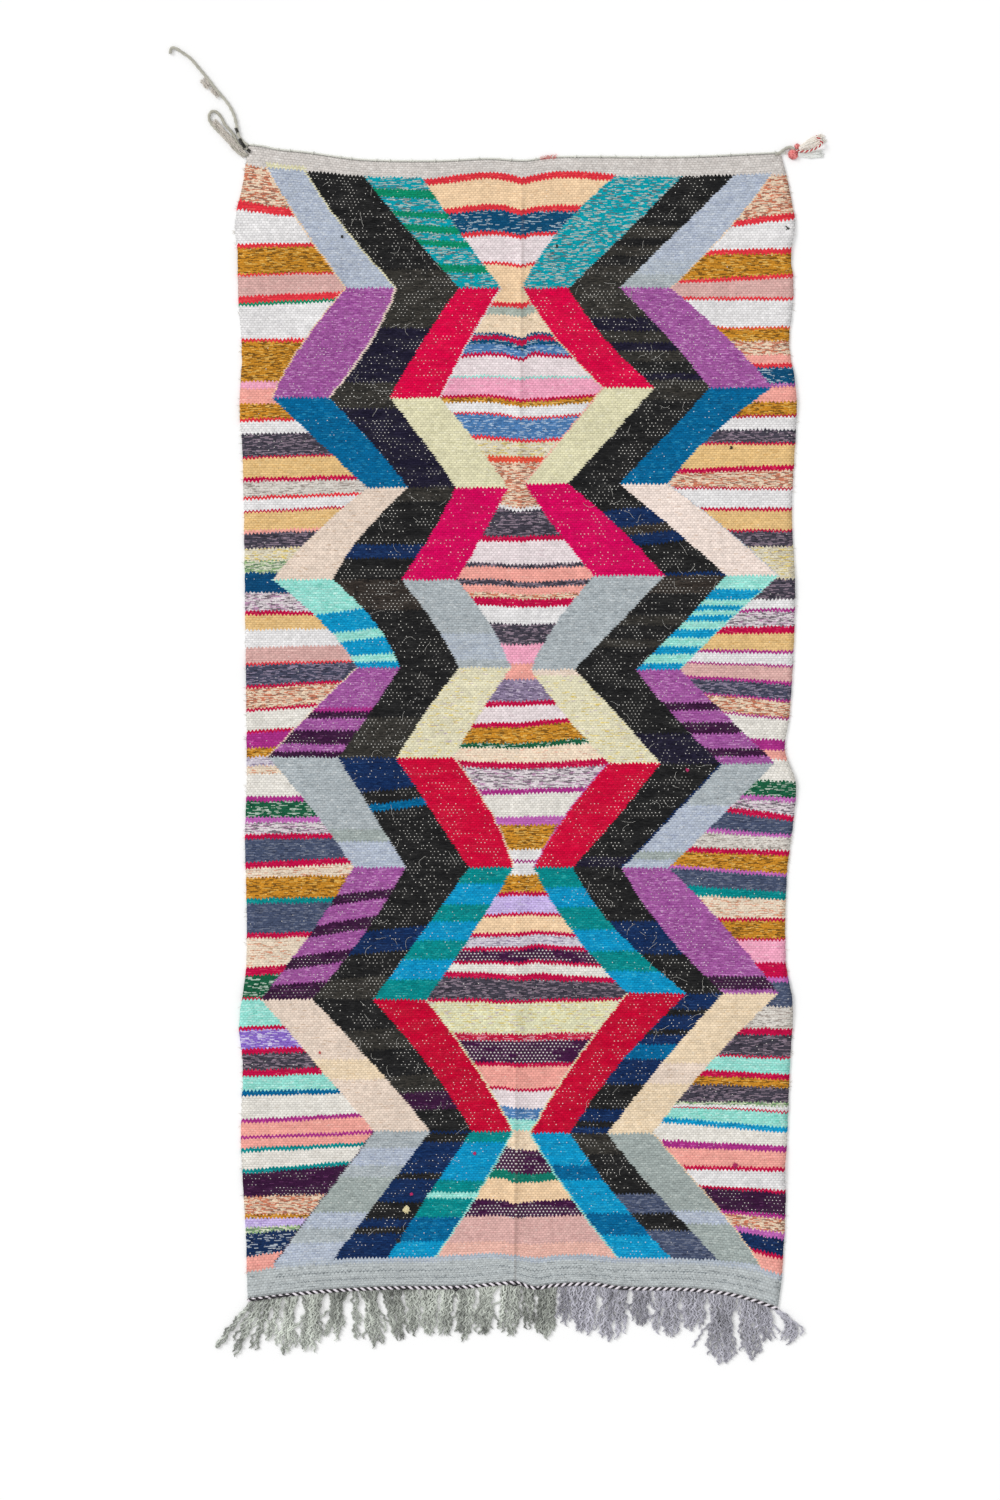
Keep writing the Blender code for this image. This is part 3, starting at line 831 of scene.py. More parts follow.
zones = [read_stack(text) for text in STACKS]
for stack in zones:
    stack += read_stack(BOTTOM_STACK)[:LINES - len(stack)]
print("lines in each zone:", [len(zone) for zone in zones])

# %% Thin outline threads along the borders
# Which border, from which turn to the next, the yarn, and half its width in millimetres.
OUTLINES = """
0 0 peach 1.7, 1 0 straw 2, 7 0 peach 1.4, 0 1 peach 1.5, 1 1 petal 2.6, 3 1 white 1.5,
4 1 creamyellow 1.5, 4 2 salmon 1.6, 7 3 bluegrey 1.4, 7 4 mint 1.6, 0 5 cream 1.6, 3 6 creamrust 1.8,
4 6 lilac 1.4, 6 6 navy 3, 3 8 creamyellow 2, 4 8 creamyellow 2, 0 9 soot 1.6, 3 9 mint 2, 4 9 mint 2,
7 9 peach 1.4
"""
outlines = [row.split() for row in OUTLINES.split(",")]
print(f"{len(outlines)} outline threads")

# %% [markdown]
# ## Stripes that run askew
# A weaver beats the weft down by hand, so a stripe climbs where the beat was light and dips at the old fold.
# The stacks above are exact at one place: the fold for the middle zone, the outer edge for a side zone, the
# middle for a band. The rises below say how many chart lines higher the same stripe stands elsewhere.

# %% How far stripes rise, in chart lines
CENTRE_PLACES = (-210, -75, -28, 28, 45, 120, 230)  # millimetres from the middle, the fold lies between
CENTRE_RISES = table("""
20 -2 4 3 1 2 3 -1, 60 -2 5 5 2 3 3 0, 78 -3 4 4 2 3 3 1, 110 1 3 3 3 3 2 1, 145 1 1 1 3 3 1 0,
188 1 7 6 6 7 4 1, 212 0 2 2 2 2 1 0, 241 2 5 3 1 1 3 7, 262 5 5 3 0 0 2 5, 300 2 1 0 0 0 1 2,
345 1 5 4 2 3 0 0, 381 1 1 0 1 1 2 2, 424 3 3 2 0 0 2 5, 455 3 2 1 0 1 2 3, 520 0 1 0 0 1 1 0,
545 -2 -1 0 1 1 3 3, 565 -2 -1 0 1 2 5 4, 590 1 1 0 1 1 4 6, 608 3 1 0 0 0 1 3, 640 -2 -1 0 1 1 2 2,
700 0 0 0 0 0 0 0, 757 0 -2 -1 0 0 -2 -2, 790 0 0 0 2 3 1 0, 820 5 2 1 0 1 -1 -4, 842 2 1 0 0 1 2 3,
906 1 1 1 0 0 1 1, 1010 3 5 4 -1 -2 3 5, 1046 -2 4 3 1 2 4 4, 1061 0 2 2 1 1 2 2, 1098 2 4 3 1 1 2 0
""")  # a chart line, and the rise at each of the places
LEFT_SLOPES = table("""
48 -6, 86 0.5, 116 1, 145 2.5, 181 0, 240 0, 299 1.5, 322 1, 342 2, 376 2, 415 0, 453 0, 490 1.3,
506 1.7, 528 2.6, 551 3.3, 573 2.5, 639 0, 677 0.5, 705 2.2, 720 0.6, 776 0.7, 810 3, 840 0, 867 1.6,
913 2, 933 0.6, 960 2.7, 978 1.8, 991 2.5, 1012 4, 1039 1, 1056 -0.7, 1073 2, 1093 4
""")  # a chart line, and the rise for each 100 mm inwards from the left edge
RIGHT_SLOPES = table("""
30 0, 62 -6, 93 -0.5, 119 -2.5, 139 0, 241 -1, 285 0, 308 -2, 330 0.5, 372 0, 469 -1, 500 1.3, 541 4.2,
559 4.5, 593 1, 643 3, 655 7, 676 2.7, 693 2, 715 3.7, 734 2.5, 761 0, 805 0, 871 1.4, 899 2, 922 2.5,
945 0, 955 4, 968 3.8, 988 1.7, 1010 0.7, 1032 2.8, 1055 2, 1090 5
""")  # the same, inwards from the right edge
# Rise for each 100 mm to the right, about the middle of a band: zone, from which turn to the next, slope.
BAND_SLOPES = ((3, 0, -2.5), (6, 3, 5), (1, 4, 5), (2, 6, 5), (1, 7, 8), (2, 7, 5), (2, 8, 3))


def on_straights(key, keys, values):
    """The value at a key on straight lines from point to point, and level past the first and the last."""
    i = min(max(bisect(keys, key) - 1, 0), len(keys) - 2)
    share = (key - keys[i]) / (keys[i + 1] - keys[i])
    return values[i] + (values[i + 1] - values[i]) * min(max(share, 0), 1)


def between(rows, key):
    """The values after the key in a table's rows, on straight lines between two rows."""
    keys, *columns = zip(*rows, strict=True)
    return [on_straights(key, keys, column) for column in columns]


print("rises at line 300:", between(CENTRE_RISES, 300))

# %% [markdown]
# ## The cloth
# The cloth is one grid whose rows stand two chart lines apart. It is bent to the real cloth: its uneven
# edges, the ridge left by an old fold, low ripples at the sides. Each face stores the yarns of the stripes
# beside the nearest zigzag border, and how far away their edges are. The shader then draws these edges crisp,
# with woven teeth, however close the camera comes. A picture could not do that, and a face for each thread
# would be far too many.

# %% Bends in the cloth
SIDE_COLUMNS = 39  # on either side of the fold
FOLD_OFFSETS = (-12, -6, -3, -1, 1, 3, 6, 12)  # millimetres from the fold line, where the grid is finer
COLUMNS = 2 * SIDE_COLUMNS + len(FOLD_OFFSETS) - 1
ROWS = LINES // 2
WARP = 0.00425  # from one warp to the next
FOLD_X = (0.016, -0.002)  # where the old fold line runs, at the top and at the bottom
TOP_REACH = 90  # chart lines over which the edge's own shape fades out
BOTTOM_REACH = 108
SETTLE_TOP = 14  # chart lines over which the bends of the wefts die away
SETTLE_BOTTOM = 26
WAVE = 0.0012  # how far a weft waves, a side edge wanders and the cloth puckers
SIDE_WAVE = 0.0016
PUCKER = 0.0007

# Ripples where the cloth stands off the floor: x, y, half length, half width, degrees, height. A crease runs
# along the fold: from y, to y, height, half width. All lengths are in millimetres.
RIPPLES = table("""
-520 1060 190 75 10 5, -560 700 170 80 -6 4, -540 130 180 85 4 3, -540 -655 210 80 -4 5,
-560 -1000 150 75 8 3, 540 1110 170 75 -12 5, 550 740 190 80 5 4, 560 300 160 80 0 3,
520 -110 220 85 -9 6, 540 -640 190 80 3 5, 550 -1010 160 75 -5 4
""")
CREASES = ((1240, 110, 4, 24), (-110, -1240, 5, 24))
SHARP_CREASES = ((1290, 560, 1.7, 6), (-820, -1300, 2.2, 6))
CREASE_FADE = 0.12
# How dark the painted shade along the crease of the fold line is, by chart line.
FOLD_SHADES = table("0 0.2, 60 0.8, 250 0.6, 340 0.1, 800 0.1, 980 0.7, 1128 0.9")
FOLD_SHADE_HALF = 3.2  # millimetres


def swell(share):
    """A soft hump: 1 in the middle, 0 with no slope at a share of 1 and past it."""
    return (1 - share * share) ** 2 if abs(share) < 1 else 0


def fold_line(line):
    return FOLD_X[0] + (FOLD_X[1] - FOLD_X[0]) * line / LINES


def settled(line):
    """Bends of the wefts die away towards both ends: 1 in the pattern, 0 at the first and last line."""
    return min(1, line / SETTLE_TOP, (LINES - line) / SETTLE_BOTTOM)


def crease_height(crease, x, y, line):
    """A ridge along the fold line that rises and falls softly at its two ends."""
    start, end, high, half = crease
    rise = min(max(min(start * MM - y, y - end * MM) / CREASE_FADE, 0), 1)
    return high * MM * rise * swell((x - fold_line(line)) / (half * MM))


def lift(x, y, line):
    """How high the cloth's underside stands above the floor."""
    height = 0
    for ripple_x, ripple_y, long, wide, degrees, high in RIPPLES:
        turn = math.radians(degrees)
        dx, dy = x - ripple_x * MM, y - ripple_y * MM
        along = (dx * math.cos(turn) + dy * math.sin(turn)) / (long * MM)
        aside = (dy * math.cos(turn) - dx * math.sin(turn)) / (wide * MM)
        height = max(height, high * MM * swell(along) * swell(aside))
    height = max(height, *(crease_height(crease, x, y, line) for crease in CREASES))
    height += sum(crease_height(crease, x, y, line) for crease in SHARP_CREASES)
    pucker = noise.noise(Vector((x * 16, y * 16, 0))) + 0.6 * noise.noise(Vector((x * 40, y * 40, 3)))
    return height + PUCKER * max(pucker, 0)


def cloth_row(line):
    """The points of one grid row and, for each, its warps from the left edge, its line, the fold's shade."""
    far = line * LINE
    left, right = side_edges(far)
    left += SIDE_WAVE * noise.noise(Vector((line * 0.09, 4, 0)))
    right += SIDE_WAVE * noise.noise(Vector((line * 0.09, 9, 0)))
    fold = fold_line(line)
    fold_places = [fold + offset * MM for offset in FOLD_OFFSETS]
    first, last = fold_places[0], fold_places[-1]
    places = [left + (first - left) * i / SIDE_COLUMNS for i in range(SIDE_COLUMNS)]
    places += fold_places
    places += [last + (right - last) * (i + 1) / SIDE_COLUMNS for i in range(SIDE_COLUMNS)]
    shade = between(FOLD_SHADES, line)[0]
    points, threads = [], []
    for x in places:
        slow = noise.noise(Vector((x * 5, line * 0.02, 1.5)))
        quick = noise.noise(Vector((x * 16, line * 0.05, 7.5)))
        y = RUG_LENGTH / 2 - far + WAVE * (slow + quick) * settled(line)
        y += smooth(TOP_EDGE, x) * max(1 - line / TOP_REACH, 0) ** 1.5
        y -= smooth(BOTTOM_EDGE, x) * max((line - LINES) / BOTTOM_REACH + 1, 0) ** 2
        points.append(Vector((x, y, lift(x, y, line))))
        threads += ((x - left) / (right - left) * RUG_WIDTH / WARP, line)
        threads.append(shade * max(1 - abs(x - fold) / (FOLD_SHADE_HALF * MM), 0))
    return points, threads


cloth_points, thread_places = [], []
for row in range(ROWS + 1):
    points, threads = cloth_row(2 * row)
    cloth_points += points
    thread_places += threads
print(f"{len(cloth_points)} points, highest {max(point.z for point in cloth_points) / MM:.1f} mm")

# %% Borders and stripe edges
SIDE_BORDERS = 4
BORDERS = 2 * SIDE_BORDERS
MIDDLE_ZONE = SIDE_BORDERS
FOLD_FLAT = 6  # millimetres on either side of the fold over which a stripe keeps level
SLOPE_RUN = 0.1  # slopes are rises for each 100 mm
STRIPES_FROM = (-0.600, 0.577)  # where the side zones' stacks are exact


def turns_of(border):
    return TURNS["left" if border < SIDE_BORDERS else "right"]


def stretch(border, turn):
    """The chart lines of one turn and of the next, on the side of a border or zone."""
    return turns_of(border)[turn][0], turns_of(border)[turn + 1][0]


@cache
def border_x(border, line):
    """Where a zigzag border stands at a chart line, in metres from the middle."""
    turns, place = turns_of(border), 1 + border % SIDE_BORDERS
    line = min(max(line, turns[0][0]), turns[-1][0])
    k = max(k for k in range(len(turns) - 1) if turns[k][0] <= line)
    near, far = turns[k], turns[k + 1]
    share = (line - near[0]) / (far[0] - near[0])
    straight = near[place] + (far[place] - near[place]) * share
    return MM * (straight + near[place + SIDE_BORDERS] * 4 * share * (1 - share))


@cache
def outline_at(border, line):
    """The number of the outline yarn at a border, and half its width."""
    for of_border, turn, name, half in outlines:
        start, end = stretch(border, int(turn))
        if int(of_border) == border and start <= line < end:
            return YARN_NUMBER[name], float(half)
    return 0, 0


@cache
def slope(zone, line):
    """How a zone's stripes climb. A band's slope is full halfway between two turns and none at a turn."""
    if zone == 0:
        return between(LEFT_SLOPES, line)[0]
    if zone == BORDERS:
        return between(RIGHT_SLOPES, line)[0]
    for of_zone, turn, steep in BAND_SLOPES:
        start, end = stretch(zone, turn)
        if of_zone == zone and start < line < end:
            return steep * min(1, 4 * (line - start) / (end - start), 4 * (end - line) / (end - start))
    return 0


@cache
def centre_rises(line):
    """Places and rises across the middle zone, level on both sides of the fold."""
    fold = fold_line(line) / MM
    heights = between(CENTRE_RISES, line)
    places = (*CENTRE_PLACES[:3], fold - FOLD_FLAT, fold + FOLD_FLAT, *CENTRE_PLACES[3:])
    return places, (*heights[:3], 0, 0, *heights[3:])


def rise(zone, x, line):
    """How many chart lines higher a stripe of this zone stands here."""
    if zone == MIDDLE_ZONE:
        return on_straights(x / MM, *centre_rises(line)) * settled(line)
    climb = slope(zone, line)
    if not climb:
        return 0
    if zone == 0:
        run = x - STRIPES_FROM[0]
    elif zone == BORDERS:
        run = STRIPES_FROM[1] - x
    else:
        run = x - (border_x(zone - 1, line) + border_x(zone, line)) / 2
    return climb * run / SLOPE_RUN * settled(line)


def stripe_near(zone, chart_line):
    """The yarns above, in and below the stripe at a chart line, and the lines where it begins and ends."""
    stack = zones[zone]
    start = end = min(max(int(chart_line), 0), LINES - 1)
    while start > 0 and stack[start - 1] == stack[start]:
        start -= 1
    while end < LINES and stack[end] == stack[start]:
        end += 1
    return (stack[max(start - 1, 0)], stack[start], stack[min(end, LINES - 1)]), start, end


# %% What each face of the cloth stores
cloth_data = {name: [] for name in ("left_yarns", "right_yarns", "left_edges", "right_edges", "outlines")}
faces = []
for row in range(ROWS):
    upper_line, lower_line = 2 * row, 2 * row + 2
    for column in range(COLUMNS):
        upper = row * (COLUMNS + 1) + column
        lower = upper + COLUMNS + 1
        corners = ((upper, upper_line), (lower, lower_line), (lower + 1, lower_line), (upper + 1, upper_line))
        faces.append([point for point, _ in corners])
        places = [(cloth_points[point].x, line) for point, line in corners]
        middle = sum(x for x, _ in places) / 4
        border = min(range(BORDERS), key=lambda k: abs(border_x(k, upper_line) - middle))
        asides = [(x - border_x(border, line)) / MM for x, line in places]
        for zone, side in ((border, "left"), (border + 1, "right")):
            counts = [line + rise(zone, x, line) for x, line in places]
            yarns, start, end = stripe_near(zone, sum(counts) / 4)
            cloth_data[side + "_yarns"] += yarns * 4
            for count, aside in zip(counts, asides, strict=True):
                cloth_data[side + "_edges"] += (count - start, count - end, aside)
        cloth_data["outlines"] += (*outline_at(border, upper_line), 0) * 4
print(f"{len(faces)} faces")

# %% [markdown]
# ## The cloth's material
# Weft-faced plain weave hides its warps: each weft shows as a row of beads two warps long, and the next row
# is shifted by one warp. Where the rug is worn, the pale warp peeks out between beads. The card group turns a
# yarn's number into its colours, the weave group makes the beads, and the fleck group breaks a yarn into
# short dashes of its second colour.

# %% Node group: the yarn cards


def card_ramp(place, colours, amounts):
    """A colour ramp in flat steps, one for each yarn: its colour and, as the alpha, an amount."""
    colour = add_node(place.tree, "ValToRGB", {0: place})
    ramp = colour.socket.node.color_ramp
    ramp.interpolation = "CONSTANT"
    while len(ramp.elements) < len(colours):
        ramp.elements.new(1.0)
    for number, (code, amount) in enumerate(zip(colours, amounts, strict=True)):
        ramp.elements[number].position = number / CARD_SIZE
        ramp.elements[number].color = (*dye(code)[:3], amount)
    return outputs_of(colour)


def read_cards(yarn):
    """The colours and amounts of a yarn from its number, read off ramps that each hold one card."""
    shelf = list(SHELF.values())
    for first in range(0, len(shelf), CARD_SIZE):
        place = (yarn - (first - 0.5)) / CARD_SIZE
        base, fleck, spark, share, wear = zip(*shelf[first:first + CARD_SIZE], strict=True)
        base, share = card_ramp(place, base, share)
        fleck, wear = card_ramp(place, fleck, wear)
        spark, _ = card_ramp(place, spark, [1] * len(spark))
        if first:
            past = yarn > first - 0.5
            base, fleck, spark = (
                tinted(past, old, new) for old, new in zip(colours, (base, fleck, spark), strict=True)
            )
            share, wear = (mixed(past, old, new) for old, new in zip(amounts, (share, wear), strict=True))
        colours, amounts = (base, fleck, spark), (share, wear)
    return *colours, share, wear * MOST_WEAR


yarn_cards = new_group(
    "yarn_cards",
    {"Yarn": 0.0},
    {"Base": "Color", "Fleck": "Color", "Spark": "Color", "Share": "Float", "Wear": "Float"},
    read_cards,
)

# %% Node group: plain weave
PICK = 2.3  # chart lines to a visible row of beads
GAP_PICK = 3.0  # chart lines to a row of gaps between wefts
GAP_HALF_WIDTH = 1.15  # millimetres
GAP_HALF_HEIGHT = 1.0


def brickwork(warps, lines, pick):
    """Cells two warps wide in rows that are each shifted by a warp: the place in a cell, then its number."""
    picks = lines / pick
    row = maths("FLOOR", picks)
    shifted = (warps + row) / 2
    return maths("FRACT", shifted), maths("FRACT", picks), maths("FLOOR", shifted), row


def beads_and_gaps(threads):
    """Beads of weft, and how far it is to the middle of a gap where warp can show: 1 at a plain gap's rim."""
    warps, lines, _ = split(threads)
    across, down, cell, row = brickwork(warps, lines, PICK)
    across, down = across * 2 - 1, down * 2 - 1
    across_square = across * across
    height = (1.0 - across_square * across_square) * (1.0 - down * down)
    bead = chance(joined(cell, row))
    across, down, cell, row = brickwork(warps, lines, GAP_PICK)
    gap_x = (across - 0.5) * (2 * WARP / MM / GAP_HALF_WIDTH)
    gap_y = (down - 0.5) * (GAP_PICK * LINE / MM / GAP_HALF_HEIGHT)
    return height, bead, gap_x * gap_x + gap_y * gap_y, chance(joined(cell, row, 2.0))


plain_weave = new_group(
    "plain_weave",
    {"Threads": None},
    {"Height": "Float", "Bead": "Float", "From Gap": "Float", "Gap Number": "Float"},
    beads_and_gaps,
)

# %% Node groups: weft flecks and woven teeth
FLECK_WARPS = 2.2
FLECK_LINES = 0.8
SPARK_SHARE = 0.34


def short_dashes(threads, share):
    """Short dashes along the weft over a given share of the surface, and which of them are sparks."""
    warps, lines, _ = split(threads)
    ragged = soft_noise(joined(warps * 0.22, lines * 0.3), 1, 2)
    warps = ragged * 0.8 + warps
    lines = ragged + lines
    row = maths("FLOOR", lines / FLECK_LINES)
    start = chance(joined(row, 11.0)) * 7
    dash = maths("FLOOR", warps / FLECK_WARPS + start)
    by_dash = chance(joined(dash, row, 5.0))
    even = soft_noise(joined(warps * 0.16, lines * 0.5), 1, 2) * 2.4 - 0.7
    mask = by_dash * 0.74 + even * 0.26 < share * 0.84 + 0.07
    return mask, chance(joined(dash, row, 9.0)) < SPARK_SHARE


def teeth_and_wander(along, other, depth, wander):
    """How far the teeth of turning wefts and a slow wander shift an edge, at a place along it."""
    tooth = maths("PINGPONG", along, 0.5) * 4 - 1
    drift = soft_noise(joined(along, other * 0.25), 0.42, 3, 0.6) * 4 - 2
    return [drift * wander + tooth * depth]


weft_flecks = new_group(
    "weft_flecks", {"Threads": None, "Share": 0.2}, {"Mask": "Float", "Spark": "Float"}, short_dashes
)
woven_teeth = new_group(
    "woven_teeth",
    {"Along": 0.0, "Other": 0.0, "Depth": 1.0, "Wander": 0.5},
    {"Shift": "Float"},
    teeth_and_wander,
)

# %% The woven cloth


def make_woven_cloth():
    made, shader = new_material("woven_rags")
    tree = made.node_tree
    threads = stored(tree, "threads")
    warps, lines, fold_shade = split(threads)
    outline_yarn, outline_half, _ = split(stored(tree, "outlines"))

    # Which yarn is here
    teeth = use(woven_teeth, Along=warps / 2, Other=lines, Depth=1.25, Wander=1.1)[0]
    steps = use(woven_teeth, Along=lines / PICK, Other=warps, Depth=2.9, Wander=4.2)[0]
    sides = []
    for side in ("left", "right"):
        above, inside, below = split(stored(tree, side + "_yarns"))
        start, end, aside = split(stored(tree, side + "_edges"))
        sides.append(mixed(end + teeth > 0.0, mixed(start + teeth < 0.0, inside, above), below))
    stepped = aside + steps
    yarn_here = mixed(stepped > 0.0, *sides)
    yarn_here = mixed(maths("ABSOLUTE", stepped) < outline_half, yarn_here, outline_yarn)
    base, fleck, spark, share, wear = use(yarn_cards, Yarn=yarn_here)

    # Its base colour, flecks and sparks
    flecked, is_spark = use(weft_flecks, Threads=threads, Share=share)
    colour = tinted(flecked * 0.8, base, tinted(is_spark, fleck, spark))

    # Beads with painted shade in the grooves between them, streaks of single wefts and faint warp ribs
    bead_height, bead, from_gap, gap_number = use(plain_weave, Threads=threads)
    streaks = soft_noise(joined(warps * 0.012, lines * 0.33), 1, 3)
    ribs = soft_noise(joined(warps * 0.75, lines * 0.05), 1, 2)
    tone_and_groove_shade = (bead * 0.19 + 0.905) * (streaks * 0.30 + 0.85)
    # The bead height factor is painted shade: darker in the grooves between beads
    tone_and_groove_shade = tone_and_groove_shade * (bead_height * 0.24 + 0.83) * (ribs * 0.26 + 0.87)
    colour = tinted(1.0, colour, joined(tone_and_groove_shade, tone_and_groove_shade, tone_and_groove_shade), "MULTIPLY")

    # Painted shade along the crease of the old fold
    colour = tinted(fold_shade * 0.45, colour, dye("523c32"))

    # Pale warp that peeks through, and a veil of pale fibre, more in some patches than in others
    patch = soft_noise(joined(warps * 0.06, lines * 0.10), 1, 3, 0.6) * 6.2 - 2.5
    worn = maths("MAXIMUM", patch * wear, 0.001)
    open_share = maths("MAXIMUM", 1.0 - gap_number / worn, 0.0)
    in_gap = from_gap < maths("MAXIMUM", wear, 1.0)
    colour = tinted(maths("MINIMUM", worn, 0.9) * 0.025, colour, dye("aaa7a2"))
    colour = tinted(in_gap * maths("POWER", open_share, 0.5), colour, dye("e4e1da"))

    # Specks of lint: pale ones on dark yarn, dark ones on pale yarn
    where = own_place(tree)
    is_pale = add_node(tree, "RGBToBW", {0: base}) > 0.35
    specks = add_node(tree, "TexVoronoi", {"Vector": where, "Scale": 48, "Randomness": 1}, "Distance")
    size = mixed(is_pale, maths("MINIMUM", wear * 0.09, 0.05), 0.062)
    lint = tinted(is_pale, dye("e2e0dc"), dye("76645c"))
    colour = tinted((specks < size) * 0.6, colour, lint)
    colour = use(uneven_dye, Colour=colour, Place=where, Amount=0.26)[0]

    fuzz = use(fibre_fuzz, Place=where, Fineness=0.8)[0]
    as_wool(shader, colour, fuzz * 0.35 + bead_height, (0.8, 0.0011), 0.06, 0.02)
    return made


woven_cloth = make_woven_cloth()

# %% Put the cloth together
cloth_mesh = bpy.data.meshes.new("woven_cloth")
cloth_mesh.from_pydata(cloth_points, [], faces)
store(cloth_mesh, "threads", "POINT", thread_places)
for name, values in cloth_data.items():
    store(cloth_mesh, name, "CORNER", values)
cloth = on_rug(cloth_mesh, woven_cloth, "woven_wool", "rug_cloth")
thick = cloth.modifiers.new("thickness", "SOLIDIFY")
thick.thickness = CLOTH_THICK
thick.offset = 1
print(f"about {4 * len(faces) + 4 * (ROWS + COLUMNS)} triangles with both faces and the rim")

# %% [markdown]
# ## The cords at the two ends
# The heading cord is the one that the warps were looped on, a grey two-ply yarn along the top edge. At the
# other end a black and a white strand are twined over each other across all the warps, which locks the last
# weft in place. The twining changes hand near the middle, as it does when a weaver works from both sides.

# %% Heading cord with its warp loops
HEADING_GAUGE = (0.0025, 0.0017, 0.016, 6)
WARP_LOOP_GAUGE = (0.0013, 0.0010, 0.006, 5)
NECK_LENGTH = 0.012
TASSEL_CENTRE_Y = 1.290
KNOTS = 27
FIRST_KNOT = -0.588
KNOT_SPACING = 0.045

heading_yarn = spun_yarn("heading_yarn", "eaeae2", "b4b4a8", 0.4, 0.4)
neck = Vector((heading_line[-1].x + NECK_LENGTH, TASSEL_CENTRE_Y, 0))
heading_path = [point + UP * HEADING_GAUGE[0] for point in (*heading_line, neck)]
heading_skein = Skein()
heading_skein.add(resampled(heading_path, 0.003), HEADING_GAUGE)
knot_rng = random.Random(3)
for i in range(KNOTS):
    knot = at_x(heading_line, FIRST_KNOT + (i + knot_rng.uniform(-0.35, 0.35)) * KNOT_SPACING)
    lean = knot_rng.uniform(-0.002, 0.002)
    shifts = (
        (-lean, -0.0032, 0.0034), (0, -0.001, 0.0056), (lean, 0.0016, 0.0056),
        (2 * lean, knot_rng.uniform(0.003, 0.006), 0.003),
    )
    heading_skein.add(curved([knot + Vector(shift) for shift in shifts], 3), WARP_LOOP_GAUGE, taper=3)
heading = heading_skein.piece("heading_two_ply", heading_yarn, "heading_yarn", "heading_cord")

# %% Twined end cord, and spots where its black strand stands out
END_CORD_LOBE = 0.0045
END_CORD_PITCH = 0.0154
END_CORD_FLIP = 0.050
STRAND_RADIUS = 0.0028
STRAND_GAUGE = (STRAND_RADIUS, STRAND_RADIUS * 0.85, 0.006, 7)
END_LOOP_GAUGE = (0.0019, 0.0015, 0.007, 6)
END_LOOP_HEIGHT = 0.0095
END_LOOPS = (  # from and to in millimetres from the middle, and how far the loop hangs down
    (-600, -560, 2), (-556, -508, 1), (-261, -246, 3), (-144, -128, 7), (-18, 10, 4), (236, 251, 2),
)

black_strand = spun_yarn("black_strand", "18111c", "09070c", 0.3, 0.4)
white_strand = spun_yarn("white_strand", "f8f3f7", "d6ccd8", 0.3, 0.2)
cord_line = beside(bottom_edge, -(END_CORD_LOBE + GAP))
cord_path = [point + UP * END_CORD_LOBE for point in resampled(cord_line, END_CORD_PITCH / 10)]
for strand, finish in enumerate((black_strand, white_strand)):
    angles = [math.tau * abs(p.x - END_CORD_FLIP) / END_CORD_PITCH + strand * math.pi for p in cord_path]
    path = wound(cord_path, END_CORD_LOBE - STRAND_RADIUS, angles)
    one_yarn(path, STRAND_GAUGE, finish.name, finish, "twined_yarn", "end_cord")

end_loops = Skein()
for start, end, drop in END_LOOPS:
    first, last = at_x(cord_line, start * MM), at_x(cord_line, end * MM)
    middle = first.lerp(last, 0.5) + Vector((0, -drop * MM, 0))
    route = [point + UP * END_LOOP_HEIGHT for point in (first, middle, last)]
    end_loops.add(curved(route, 6), END_LOOP_GAUGE, taper=3)
end_loops.piece("end_cord_loops", black_strand, "twined_yarn")

# %% [markdown]
# ## The fringe
# The fringe is the warps themselves, cut free and left unknotted. Years under tension in the loom have set a
# crinkle in each yarn, and they cling together in locks that lean to the left on the left side. The locks
# come from a short table, and each is filled with single yarns that wander, cross and end unevenly. Hair
# particles would not lie flat in this way, so each yarn is lofted along its own path.

# %% The locks of the fringe
FRINGE_START = -604
YARN_SPACING = 0.0031
SHORTER_EDGE = 0.16
STRAYS = 0.07  # share of yarns that cross to the next lock
STRAY_REACH = 1.9  # how far, where 1 is the edge of their own lock
# Where its root ends and its tip stands, from the middle, half its width and how far below the edge it ends,
# all in millimetres. Then how early its yarns bend (0.5 is a straight yarn), and its yarns if they are few.
GREEN_LOCKS = table("""
-588 -679 9 145 0.5, -570 -636 12 161 0.5, -545 -597 13 148 0.5, -527 -559 9 127 0.6,
-490 -522 18 157 0.7, -429 -466 23 152 0.8, -372 -414 17 125 0.7, -359 -361 4 143 0,
-309 -320 20 143 0.7, -259 -266 14 127 0.6, -218 -232 10 116 0.8, -173 -196 14 114 0.7,
-134 -160 13 120 0.6, -91 -118 13 127 0.6, -36 -76 17 116 0.7, 14 -16 18 116 0.6, 45 27 12 104 0.5,
95 66 16 123 0.5
""")
LILAC_LOCKS = table("""
136 114 18 93 0.5, 186 155 17 114 0.5, 259 215 27 127 0.5, 309 284 18 91 0.5, 377 345 26 118 0.5,
431 403 20 104 0.5, 504 466 27 179 0.6, 563 536 21 170 0.5, 577 576 8 129 0.5 8, 590 618 13 138 1.7 14
""")
print(f"{len(GREEN_LOCKS)} green-grey and {len(LILAC_LOCKS)} lilac-grey locks")

# %% Fill the locks with crinkled yarn
FRINGE_LOBE = 0.0023
FRINGE_GROOVE = 0.0015
FRINGE_STEP = 0.0030
GREEN_PINCH = (0.15, 0.60)  # how much narrower a lock is halfway down, as a share
LILAC_PINCH = (0.0, 0.34)
CRINKLE = 0.0024
SWAY = 0.0034
WIDER = 1.2
ROOT_LINE = beside(bottom_edge, -0.006)


